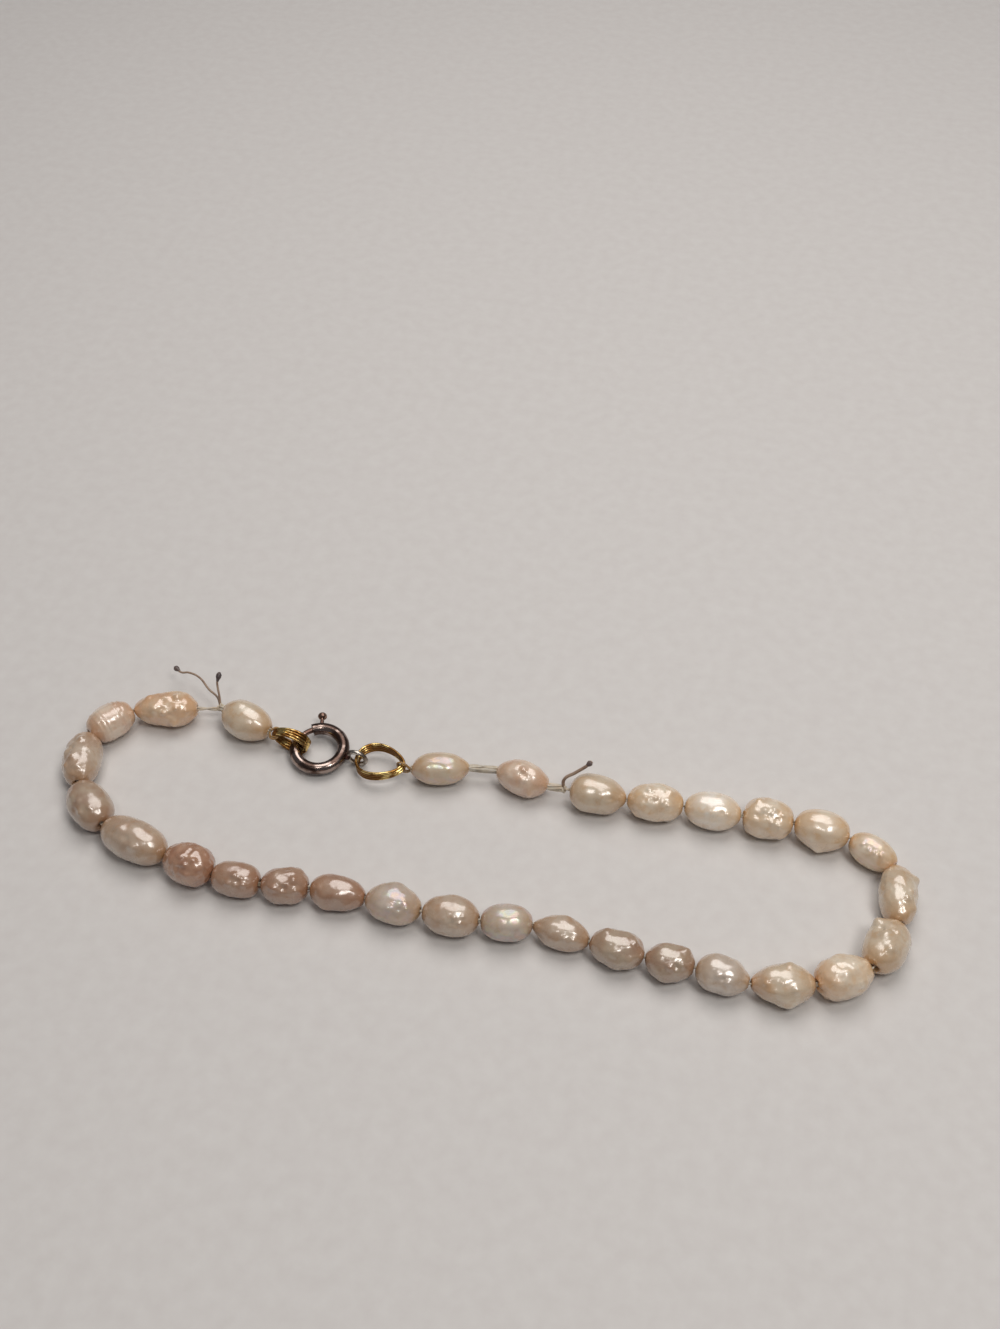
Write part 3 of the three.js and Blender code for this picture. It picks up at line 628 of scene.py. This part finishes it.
def make_bundle(name, strands, thickness, sides=8, smooth=False):
    """Strands are lists of points, or of (point, swell) where the thickness changes."""
    curve = bpy.data.curves.new(name, "CURVE")
    curve.dimensions = "3D"
    curve.bevel_depth = thickness / 2
    curve.bevel_resolution = max(0, sides // 2 - 2)
    curve.use_fill_caps = True
    curve.resolution_u = CURVE_STEPS
    for strand in strands:
        points = [item if isinstance(item, tuple) else (item, 1) for item in strand]
        spline = curve.splines.new("BEZIER" if smooth else "POLY")
        line = spline.bezier_points if smooth else spline.points
        line.add(len(points) - 1)
        for spot, (place, swell) in zip(line, points):
            spot.co = place if smooth else (*place, 1)
            spot.radius = swell
            if smooth:
                spot.handle_left_type = spot.handle_right_type = "AUTO"
    piece = bpy.data.objects.new(name, curve)
    bpy.context.scene.collection.objects.link(piece)
    take(piece)
    bpy.ops.object.convert(target="MESH")
    piece = new_piece(name)
    edit(piece)
    close_edit(merge=CURVE_WELD)
    piece.data.shade_smooth()
    return piece


def twist(path, lay, pitch, phase=0.0, step=0.35 * MM):
    """A strand that winds round a path of straight runs, at the distance lay from it."""
    points = []
    travelled = 0.0
    for first, second in zip(path, path[1:]):
        heading = (second - first).normalized()
        side = heading.cross(UP).normalized()
        over = side.cross(heading)
        count = max(1, round((second - first).length / step))
        for i in range(count):
            turn = phase + 2 * math.pi * travelled / pitch
            place = first.lerp(second, i / count)
            points.append(place + (side * math.cos(turn) + over * math.sin(turn)) * lay)
            travelled += (second - first).length / count
    turn = phase + 2 * math.pi * travelled / pitch
    points.append(path[-1] + (side * math.cos(turn) + over * math.sin(turn)) * lay)
    return points


# %% [markdown]
# ## The clasp's own frame
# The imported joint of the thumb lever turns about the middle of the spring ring, so the joint gives
# the ring's centre and its axis. The eye lies level with it, at right angles to that axis.

# %% Clasp frame
joint = frame["joints"][0]
RING_CENTRE = Vector(joint["pos_m"])
RING_AXIS = Vector(joint["axis"]).normalized()
TO_EYE = UP.cross(RING_AXIS).normalized()


def frame_at(centre, along, across):
    """Columns: along, in its plane, across."""
    matrix = Matrix((along, across.cross(along), across)).transposed().to_4x4()
    matrix.translation = centre
    return matrix


ring_frame = frame_at(RING_CENTRE, TO_EYE, RING_AXIS)
clasp_frame = frame_at(RING_CENTRE, TO_EYE, UP)
print("ring centre in mm:", [round(x / MM, 2) for x in RING_CENTRE])

# %% [markdown]
# ## End coils
# Each coil is one gilt wire wound four times into a flat drop. The turns lie side by side and are
# drawn together at the neck, where the thread holds them. A torus for each turn would do, but one
# wound wire also shows its cut ends and the slant of its turns, as the real one does.

# %% Wind the coils
WIRE = 0.28 * MM
WIRE_PITCH = 0.32 * MM
TURNS = 4
PINCH = 0.52
BUNCH = 0.11 * MM
RING_RADIUS = 2.4 * MM
TUBE_RADIUS = 0.6 * MM
EYE_DISTANCE = 3.99 * MM
EYE_SHIFT = 0.11 * MM
LEFT_COIL = {"length": 3.9, "height": 2.6, "taper": 0.1}
RIGHT_COIL = {"length": 5.1, "height": 3.9, "taper": 0.22}
LEFT_SLOPE = 15 * DEGREE
RIGHT_SLOPE = 5 * DEGREE
RIGHT_ROLL = 2 * DEGREE
TIP_PLAY = 0.38 * MM
LIMB_LIFT = 0.12 * MM
WINDING_STEPS = 64
WIRE_SIDES = 12


def neck_of(coil):
    return (coil["length"] * MM - WIRE_PITCH) / 2


def winding(coil, placed):
    """The middle line of the wire, from its cut end at the neck to the other one."""
    half_height = (coil["height"] * MM - WIRE_PITCH) / 2
    points = []
    for i in range(TURNS * WINDING_STEPS + 1):
        turn = 2 * math.pi * i / WINDING_STEPS
        neck = ((1 + math.cos(turn)) / 2) ** 3
        slide = i / WINDING_STEPS - TURNS / 2
        bunch = BUNCH * neck * (1 if round(i / WINDING_STEPS) % 2 else -1)
        points.append(placed @ Vector((
            (neck_of(coil) + bunch) * math.cos(turn),
            half_height * math.sin(turn) * (1 - coil["taper"] * math.cos(turn)),
            slide * WIRE_PITCH * (1 - PINCH * neck))))
    return points


left_along = Vector((-math.cos(LEFT_SLOPE), 0, math.sin(LEFT_SLOPE)))
left_across = Vector((0, 1, 0))
left_reach = neck_of(LEFT_COIL) - WIRE_PITCH / 2 - TUBE_RADIUS - TIP_PLAY
left_centre = (Vector((-RING_RADIUS, 0, 0)) + left_along * left_reach
               + left_across.cross(left_along) * LIMB_LIFT)
left_frame = clasp_frame @ frame_at(left_centre, left_along, left_across)

right_along = Vector((math.cos(RIGHT_SLOPE), 0, math.sin(RIGHT_SLOPE)))
right_across = Vector((-math.sin(RIGHT_SLOPE), 0, math.cos(RIGHT_SLOPE)))
right_across.rotate(Matrix.Rotation(RIGHT_ROLL, 3, right_along))
right_centre = Vector((EYE_DISTANCE + EYE_SHIFT, 0, 0)) + right_along * neck_of(RIGHT_COIL)
right_frame = clasp_frame @ frame_at(right_centre, right_along, right_across)

left_coil = make_bundle(
    "wound_coil_left", [winding(LEFT_COIL, left_frame)], WIRE, sides=WIRE_SIDES)
right_coil = make_bundle(
    "wound_coil_right", [winding(RIGHT_COIL, right_frame)], WIRE, sides=WIRE_SIDES)
for piece, node in ((left_coil, "end_coil_left"), (right_coil, "end_coil_right")):
    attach(piece, "bracelet")
    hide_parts(node)
    print(piece.name, "faces:", len(piece.data.polygons))

# %% [markdown]
# ## Spring ring
# The ring is a thin tube bent round, with a gap that the bolt bridges and a slot in its outer wall
# for the lever. A torus is the bent tube. Its faces at the gap and the slot are deleted, and
# Solidify then gives the skin its wall, inwards, so that the gap's mouths show the metal's edge.

# %% Ring tube
SEAT_ANGLE = 160
MOUTH_ANGLE = 128
SLOT_FROM = 60
SLOT_TO = 114
SLOT_HALF = 0.30 * MM
TUBE_WALL = 0.2 * MM
TUBE_EDGE = 0.035 * MM
RING_SEGMENTS = 180
TUBE_SEGMENTS = 36


def ring_angle(place):
    local = ring_frame.inverted() @ place
    return math.degrees(math.atan2(local.y, local.x)) % 360


def in_slot(face):
    middle = face.calc_center_median()
    local = ring_frame.inverted() @ middle
    outer = math.hypot(local.x, local.y) > RING_RADIUS
    return outer and abs(local.z) < SLOT_HALF and SLOT_FROM < ring_angle(middle) < SLOT_TO


bpy.ops.mesh.primitive_torus_add(
    major_segments=RING_SEGMENTS, minor_segments=TUBE_SEGMENTS, major_radius=RING_RADIUS,
    minor_radius=TUBE_RADIUS, location=RING_CENTRE, rotation=ring_frame.to_euler())
ring_tube = new_piece("ring_tube")
settle(ring_tube)
edit(ring_tube, "FACE")
pick(ring_tube, lambda face: MOUTH_ANGLE < ring_angle(face.calc_center_median()) < SEAT_ANGLE
     or in_slot(face), "faces")
bpy.ops.mesh.delete(type="FACE")
close_edit()
apply_modifier(ring_tube, "SOLIDIFY", thickness=TUBE_WALL, offset=-1)
apply_modifier(ring_tube, "BEVEL", width=TUBE_EDGE, segments=2, limit_method="ANGLE",
               angle_limit=50 * DEGREE)
ring_tube.data.shade_smooth()
print("ring tube faces:", len(ring_tube.data.polygons))

# %% [markdown]
# The eye is a small closed ring of wire that stands on edge, and a bead of solder with a rough,
# sunken skirt holds it to the tube. The bead starts as a sphere, flattened against both.

# %% Eye and solder
EYE_RADIUS = 0.93 * MM
EYE_WIRE = 0.23 * MM
SOLDER_PLACE = 3.03 * MM
SOLDER_RADIUS = 0.46 * MM
SOLDER_FLATTEN = 0.62
# size and depth of the lumps in the solder, in millimetres
SOLDER_LUMPS = (0.35, 0.12)

bpy.ops.mesh.primitive_torus_add(
    major_segments=72, minor_segments=20, major_radius=EYE_RADIUS, minor_radius=EYE_WIRE,
    location=ring_frame @ Vector((EYE_DISTANCE, 0, 0)),
    rotation=(ring_frame @ Matrix.Rotation(90 * DEGREE, 4, "X")).to_euler())
eye = new_piece("ring_eye")
settle(eye)
eye.data.shade_smooth()

bpy.ops.mesh.primitive_uv_sphere_add(
    segments=32, ring_count=20, radius=SOLDER_RADIUS,
    location=ring_frame @ Vector((SOLDER_PLACE, 0, 0)),
    rotation=ring_frame.to_euler(), scale=(SOLDER_FLATTEN, 1.0, 1.0))
solder = new_piece("ring_solder")
settle(solder)
roughen(solder, "CLOUDS", *SOLDER_LUMPS)
solder.data.shade_smooth()
for piece in (ring_tube, eye, solder):
    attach(piece, "bracelet")
    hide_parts("clasp_ring")
print("eye and solder faces:", len(eye.data.polygons), len(solder.data.polygons))

# %% [markdown]
# The bolt is a bent rod in the tube. It carries the lever: a short stem with a round thumb knob.
# The rod is the part of a torus between two angles, and the stem and knob are turned shapes. All
# of them ride on the moving body.

# %% Bolt, stem and knob
LEVER_ANGLE = 107
BOLT_FROM = 61
BOLT_TO = 168
BOLT_RADIUS = 0.28 * MM
STEM_RADIUS = 0.2 * MM
KNOB_RADIUS = 0.46 * MM
KNOB_PLACE = 3.93 * MM
KNOB_FLATTEN = 0.86
# size and depth of the dents in the knob, in millimetres
KNOB_DENTS = (0.6, 0.03)
STEM_EDGE = 0.04 * MM

bpy.ops.mesh.primitive_torus_add(
    major_segments=RING_SEGMENTS, minor_segments=16, major_radius=RING_RADIUS,
    minor_radius=BOLT_RADIUS, location=RING_CENTRE, rotation=ring_frame.to_euler())
bolt = new_piece("lever_bolt")
settle(bolt)
edit(bolt, "FACE")
pick(bolt, lambda face: not BOLT_FROM < ring_angle(face.calc_center_median()) < BOLT_TO,
     "faces")
bpy.ops.mesh.delete(type="FACE")
pick(bolt, lambda edge: edge.is_boundary, "edges")
bpy.ops.mesh.edge_face_add()
close_edit()
bolt.data.shade_smooth()

lever_frame = ring_frame @ Matrix.Rotation(LEVER_ANGLE * DEGREE, 4, "Z")
outwards = lever_frame @ Matrix.Rotation(90 * DEGREE, 4, "Y")
bpy.ops.mesh.primitive_cylinder_add(
    vertices=24, radius=STEM_RADIUS, depth=KNOB_PLACE - RING_RADIUS,
    location=lever_frame @ Vector(((KNOB_PLACE + RING_RADIUS) / 2, 0, 0)),
    rotation=outwards.to_euler())
stem = new_piece("lever_stem")
settle(stem)
edit(stem, "FACE")
pick(stem, lambda face: len(face.verts) > 4, "faces")
bpy.ops.mesh.inset(thickness=STEM_EDGE)
close_edit()
apply_modifier(stem, "BEVEL", width=STEM_EDGE, segments=2, limit_method="ANGLE",
               angle_limit=40 * DEGREE)
stem.data.shade_smooth()

bpy.ops.mesh.primitive_uv_sphere_add(
    segments=32, ring_count=20, radius=KNOB_RADIUS,
    location=lever_frame @ Vector((KNOB_PLACE, 0, 0)),
    rotation=outwards.to_euler(), scale=(1, 1, KNOB_FLATTEN))
knob = new_piece("lever_knob")
settle(knob)
roughen(knob, "CLOUDS", *KNOB_DENTS)
knob.data.shade_smooth()
for piece in (bolt, stem, knob):
    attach(piece, "trigger")
    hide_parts("clasp_trigger")
print("lever faces:", [len(piece.data.polygons) for piece in (bolt, stem, knob)])

# %% [markdown]
# ## Thread
# Two strands of nylon run through every pearl, twisted loosely, and six more where the thread is
# tied back through the pearls next to the clasp. Between the last two pearls a few slack strands
# belly out. Each tied end has a knot, and its cut ends stand up from it with a dark bead where they
# were burnt.

# %% Strands, loops and knots
STRAND = 0.21 * MM
LAY = 0.105 * MM
PITCH = 3.2 * MM
TIED_LAY = 0.27 * MM
TIED_STRAND = 0.25 * MM
TIED_COUNT = 6
LOOSE_COUNT = 5
LOOSE_BULGE = 0.16 * MM
KNOT_REACH = 0.475 * MM
KNOT_PLAY = 0.05 * MM
LOOP_STRAND = 0.17 * MM
LOOP_APART = 0.06 * MM
LOOP_PLAY = 0.28 * MM
LOOP_ROOT = 1.2 * MM
TAIL_STRAND = 0.22 * MM
TIED_BACK = 26
# how wide a knot winds, how thick its strand's path is, and its steps
KNOT_WINDING = 0.24 * MM
KNOT_THICK = 0.12 * MM
KNOT_STEPS = 60
LOOSE_STEPS = 12

knots = [bores[i][1] + (bores[i][1] - bores[i][0]).normalized() * (KNOT_REACH + KNOT_PLAY)
         for i in (0, TIED_BACK)]
whole = [mouth for bore in bores for mouth in bore]
strands = [twist(whole, LAY, PITCH), twist(whole, LAY, PITCH, math.pi)]
tied = [knots[1], *whole[2 * TIED_BACK + 2:]]
tied_strands = [twist(run, TIED_LAY, 3 * PITCH, 2 * math.pi * phase / TIED_COUNT)
                for run in (tied, [whole[0], knots[0]]) for phase in range(TIED_COUNT)]


def loose_strand(start, end, around):
    """A slack strand between two pearls, which bellies out from the bundle."""
    heading = (end - start).normalized()
    away = Matrix.Rotation(around, 3, heading) @ heading.cross(UP)
    rooted = heading * BARE_THREAD
    points = []
    for i in range(LOOSE_STEPS + 1):
        share = i / LOOSE_STEPS
        belly = TIED_LAY / 2 + LOOSE_BULGE * math.sin(math.pi * share)
        points.append((start - rooted).lerp(end + rooted, share) + away * belly)
    return points


tied_strands += [loose_strand(bores[27][1], bores[28][0], 2 * math.pi * i / LOOSE_COUNT)
                 for i in range(LOOSE_COUNT)]


def knot(centre, heading):
    """An overhand knot: a strand that goes twice round while it winds three times."""
    placed = heading.to_track_quat("Z", "Y").to_matrix().to_4x4()
    placed.translation = centre
    points = []
    for i in range(KNOT_STEPS + 1):
        turn = 2 * math.pi * i / KNOT_STEPS
        reach = KNOT_WINDING + KNOT_THICK * math.cos(3 * turn)
        points.append(placed @ Vector((
            reach * math.cos(2 * turn), reach * math.sin(2 * turn),
            KNOT_THICK * math.sin(3 * turn))))
    return points


strands += [knot(centre, bores[i][1] - bores[i][0]) for centre, i in zip(knots, (0, TIED_BACK))]


def thread_loop(mouth, inwards, coil, placed, offset):
    """The thread leaves the pearl, goes round the coil's pinched neck and comes back."""
    neck = placed @ Vector((neck_of(coil), 0, 0))
    spread = placed.to_3x3() @ Vector((0, 0, 1))
    out = (neck - mouth).normalized()
    over = out.cross(spread)
    wide = 0.5 * TURNS * WIRE_PITCH * (1 - PINCH) + LOOP_PLAY - offset
    deep = 0.5 * WIRE + BUNCH + LOOP_PLAY - offset

    def at(place, along, across):
        return place + out * along + spread * across + over * offset

    root = mouth + inwards * LOOP_ROOT
    return [root, at(mouth, 0, wide / 4), at(neck, -deep / 2, wide), at(neck, deep / 2, wide),
            at(neck, deep, 0), at(neck, deep / 2, -wide), at(neck, -deep / 2, -wide),
            at(mouth, 0, -wide / 4), root]


LOOP_ENDS = (
    (whole[0], (whole[1] - whole[0]).normalized(), LEFT_COIL, left_frame),
    (whole[-1], (whole[-2] - whole[-1]).normalized(), RIGHT_COIL, right_frame),
)
loops = [thread_loop(*end, offset) for end in LOOP_ENDS for offset in (-LOOP_APART, LOOP_APART)]

# which knot, how thick, and the way from it in millimetres
TAILS = (
    (0, 1.0, [(-0.6, 0.9, 0.3), (-1.7, 1.5, 0.6), (-3.0, 2.5, 0.9), (-4.5, 3.1, 0.7),
              (-5.4, 3.2, 0.4), (-6.4, 3.8, 0.3)]),
    (0, 1.0, [(-0.2, 0.6, 0.7), (-0.6, 1.4, 1.5), (-0.7, 1.7, 1.8), (-0.7, 2.6, 2.3)]),
    (1, 1.5, [(-0.1, 0.4, 0.9), (0.9, 0.9, 1.7), (1.8, 1.4, 2.3), (2.3, 1.8, 2.7)]),
)
tails = [[(knots[i] + Vector(step) * MM, thick) for step in [(0, 0, 0), *steps]]
         for i, thick, steps in TAILS]

thread = make_bundle("thread_strands", strands, STRAND)
tied_piece = make_bundle("thread_tied_back", tied_strands, TIED_STRAND)
loop_piece = make_bundle("thread_loops", loops, LOOP_STRAND, smooth=True)
tail_piece = make_bundle("thread_tails", tails, TAIL_STRAND, smooth=True)

# %% [markdown]
# The burnt ends are the same nylon, melted back into a bead that is thickest just before the tip.
# They are drawn as curves too, whose thickness swells and closes along the last of each tail.

# %% Burnt ends
TIP_WIDTH = 0.22 * MM
TIP_SWELL = (0.95, 1.6, 2.5, 2.6, 1.1)
TIP_LENGTHS = (0.9, 1.3, 1.6)
tips = []
for points, length in zip(tails, TIP_LENGTHS):
    end, before = points[-1][0], points[-2][0]
    back = (before - end).normalized()
    reach = min(length * MM, (before - end).length)
    tips.append([(end + back * reach * (1 - i / 4), swell) for i, swell in enumerate(TIP_SWELL)])
tip_piece = make_bundle("thread_burnt_ends", tips, TIP_WIDTH, sides=12, smooth=True)
for piece in (thread, tied_piece, loop_piece, tail_piece, tip_piece):
    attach(piece, "bracelet")
    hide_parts("thread")
print("thread faces:", [len(p.data.polygons) for p in (thread, loop_piece, tail_piece, tip_piece)])

# %% [markdown]
# ## Finishes of the clasp and the thread
# Gilt wire is brass under thin gold, drawn smooth. It is bright on its crests and brown where the
# turns touch and dirt stays. The ring is plated brass that has gone dark brown with a rose tone,
# but its gloss is kept, so it reads as polished bronze. Nylon is clear to milky, and yellows.

# %% Metals
METAL_GRAIN = 0.12 * MM
METAL_RISE = 0.006 * MM
DULL_LOSS = 0.14


def make_metal(name, bright, dull, size, share, gloss):
    """Tarnished metal: patches of the dull colour cover about that share of it."""
    material = new_material(name)
    middle = 0.68 - share * 0.4
    patches = mottle(material, size, start=middle - 0.06, end=middle + 0.06, detail=5.0)
    colour = add_node(material, "Mix", {0: patches, 6: dull, 7: bright}, data_type="RGBA")
    rough = add_node(material, "MapRange", {
        "Value": patches, "To Min": gloss + DULL_LOSS, "To Max": gloss})
    fine = add_node(material, "Bump", {
        "Height": mottle(material, METAL_GRAIN, detail=4.0), "Distance": METAL_RISE,
        "Strength": 0.4})
    surface = add_node(material, "BsdfPrincipled", {
        "Base Color": colour.outputs[2], "Metallic": 1.0, "Roughness": rough.outputs["Result"],
        "Normal": fine.outputs["Normal"]})
    return finish_material(material, surface)


gilt = make_metal("gilt_brass_wire", "#F4D892", "#8C6434", 1.1 * MM, 0.3, 0.18)
bronze = make_metal("darkened_plated_brass", "#A8978F", "#5A4942", 1.5 * MM, 0.42, 0.16)
silvery = make_metal("worn_plated_eye", "#DAD4CA", "#9A9088", 0.6 * MM, 0.35, 0.22)
solder_skin = make_metal("oxidised_solder", "#7C5A55", "#4A3431", 0.3 * MM, 0.5, 0.4)
lever_skin = make_metal("rubbed_plated_lever", "#A08678", "#6A5249", 0.6 * MM, 0.45, 0.26)

FINISHES = (
    (left_coil, gilt), (right_coil, gilt), (ring_tube, bronze), (eye, silvery),
    (solder, solder_skin), (bolt, lever_skin), (stem, lever_skin), (knob, lever_skin),
)

print("metals:", [metal.name for metal in (gilt, bronze, silvery, solder_skin, lever_skin)])

# %% [markdown]
# Nylon cord is drawn from a melt. It lets a little light through, and a clear strand looks milky
# once many of its fine fibres lie together. The cut ends are greyer with wear and the melted beads
# are a dark grey-brown. Round the coils' necks the loops are coloured amber: a painted reflection
# of the gold and painted shade.

# %% Nylon
CLOUD = 0.8 * MM
FIBRE = 0.09 * MM
FIBRE_RISE = 0.01 * MM
NYLON_IOR = 1.53
NYLON_DEPTH = 0.2 * MM


def make_nylon(name, colour, patch, rough, clear):
    material = new_material(name)
    clouds = mottle(material, CLOUD, start=0.35, end=0.65)
    body = add_node(material, "Mix", {0: clouds, 6: colour, 7: patch}, data_type="RGBA")
    fibres = add_node(material, "Bump", {
        "Height": mottle(material, FIBRE, detail=2.0), "Distance": FIBRE_RISE, "Strength": 0.5})
    surface = add_node(material, "BsdfPrincipled", {
        "Base Color": body.outputs[2], "Roughness": rough, "IOR": NYLON_IOR,
        "Transmission Weight": clear, "Normal": fibres.outputs["Normal"],
        "Subsurface Weight": 0.3, "Subsurface Radius": (1.0, 0.8, 0.6),
        "Subsurface Scale": NYLON_DEPTH})
    return finish_material(material, surface)


nylon = make_nylon("milky_nylon_thread", "#E2D8C8", "#CFC0AA", 0.38, 0.15)
stained_nylon = make_nylon("stained_nylon_tail", "#A8927F", "#8A7262", 0.4, 0.0)
burnt_nylon = make_nylon("burnt_nylon_bead", "#74645F", "#4A4041", 0.35, 0.0)
# painted reflection and painted shade: the loops round the coils' necks are coloured amber for the
# gold's reflection and the shade there
amber_nylon = make_nylon("gold_reflection_and_shade_loops", "#B79463", "#94713F", 0.35, 0.1)
FINISHES += (
    (thread, nylon), (tied_piece, nylon), (loop_piece, amber_nylon), (tail_piece, stained_nylon),
    (tip_piece, burnt_nylon),
)
for piece, material in FINISHES:
    piece.data.materials.clear()
    piece.data.materials.append(material)
print("finished pieces:", len(FINISHES) + len(pearls))

# %% [markdown]
# ## Paper, light and camera
# The bracelet lies on plain pale paper. A broad lamp behind it lights the paper most of all, and
# two smaller lamps beside the camera, the right one stronger, give the pearls their bright spots.

# %% Floor
PAPER_GRAIN = 1.5 * MM
PAPER_RISE = 0.01 * MM

bpy.ops.mesh.primitive_plane_add(size=1.6, location=(0, 0, 0))
floor = new_piece("paper")
paper = new_material("pale_paper")
fibre = mottle(paper, PAPER_GRAIN, start=0.3, end=0.7, detail=6.0)
paper_colour = add_node(paper, "Mix", {0: fibre, 6: "#D8D6D4", 7: "#D3D0CE"}, data_type="RGBA")
paper_grain = add_node(paper, "Bump", {"Height": fibre, "Distance": PAPER_RISE, "Strength": 0.3})
paper_surface = add_node(paper, "BsdfPrincipled", {
    "Base Color": paper_colour.outputs[2], "Roughness": 0.8,
    "Normal": paper_grain.outputs["Normal"]})
finish_material(paper, paper_surface)
floor.data.materials.append(paper)
print("floor material:", paper.name)

# %% Lamps
CAMERA_AZIMUTH = 13
WARM_WHITE = "#FFFBF6"
ROOM = "#E9E6EA"
ROOM_STRENGTH = 0.13


def lamp(name, azimuth, elevation, distance, size, power, colour):
    """Azimuth counts in degrees from the front of the bracelet, to the right. Distance and size
    are in metres, and power is in watts."""
    turn, rise = azimuth * DEGREE, elevation * DEGREE
    level = math.cos(rise)
    away = Vector((math.sin(turn) * level, -math.cos(turn) * level, math.sin(rise)))
    bpy.ops.object.light_add(type="AREA", location=away * distance,
                             rotation=away.to_track_quat("Z", "Y").to_euler())
    light = bpy.context.object
    light.name = name
    light.data.shape = "DISK"
    light.data.size = size
    light.data.energy = power
    light.data.color = linear(colour)[:3]


lamp("lamp_left", CAMERA_AZIMUTH - 26, 68, 0.5, 0.08, 0.15, WARM_WHITE)
lamp("lamp_right", CAMERA_AZIMUTH + 50, 64, 0.34, 0.12, 0.33, WARM_WHITE)
lamp("broad_light", CAMERA_AZIMUTH + 168, 66, 0.35, 0.3, 0.68, "#FFFAF6")

world = bpy.data.worlds.new("room")
bpy.context.scene.world = world
world.use_nodes = True
background = world.node_tree.nodes["Background"]
background.inputs["Color"].default_value = linear(ROOM)
background.inputs["Strength"].default_value = ROOM_STRENGTH

# %% [markdown]
# The camera looks down at the bracelet from in front and a little to the right, close enough for
# the near pearls to look larger than the far ones.

# %% Camera
CAMERA_PLACE = Vector((19.99, -75.44, 113.71)) * MM
CAMERA_TILT = 41.3 * DEGREE
LENS = 38.68

bpy.ops.object.camera_add(
    location=CAMERA_PLACE, rotation=(CAMERA_TILT, 0, CAMERA_AZIMUTH * DEGREE))
camera = bpy.context.object
camera.data.lens = LENS
camera.data.clip_start = 0.002
camera.data.clip_end = 10
bpy.context.scene.camera = camera
bpy.context.scene.view_settings.view_transform = "Standard"
print("camera is", round(CAMERA_PLACE.length / MM), "mm from the middle of the bracelet")
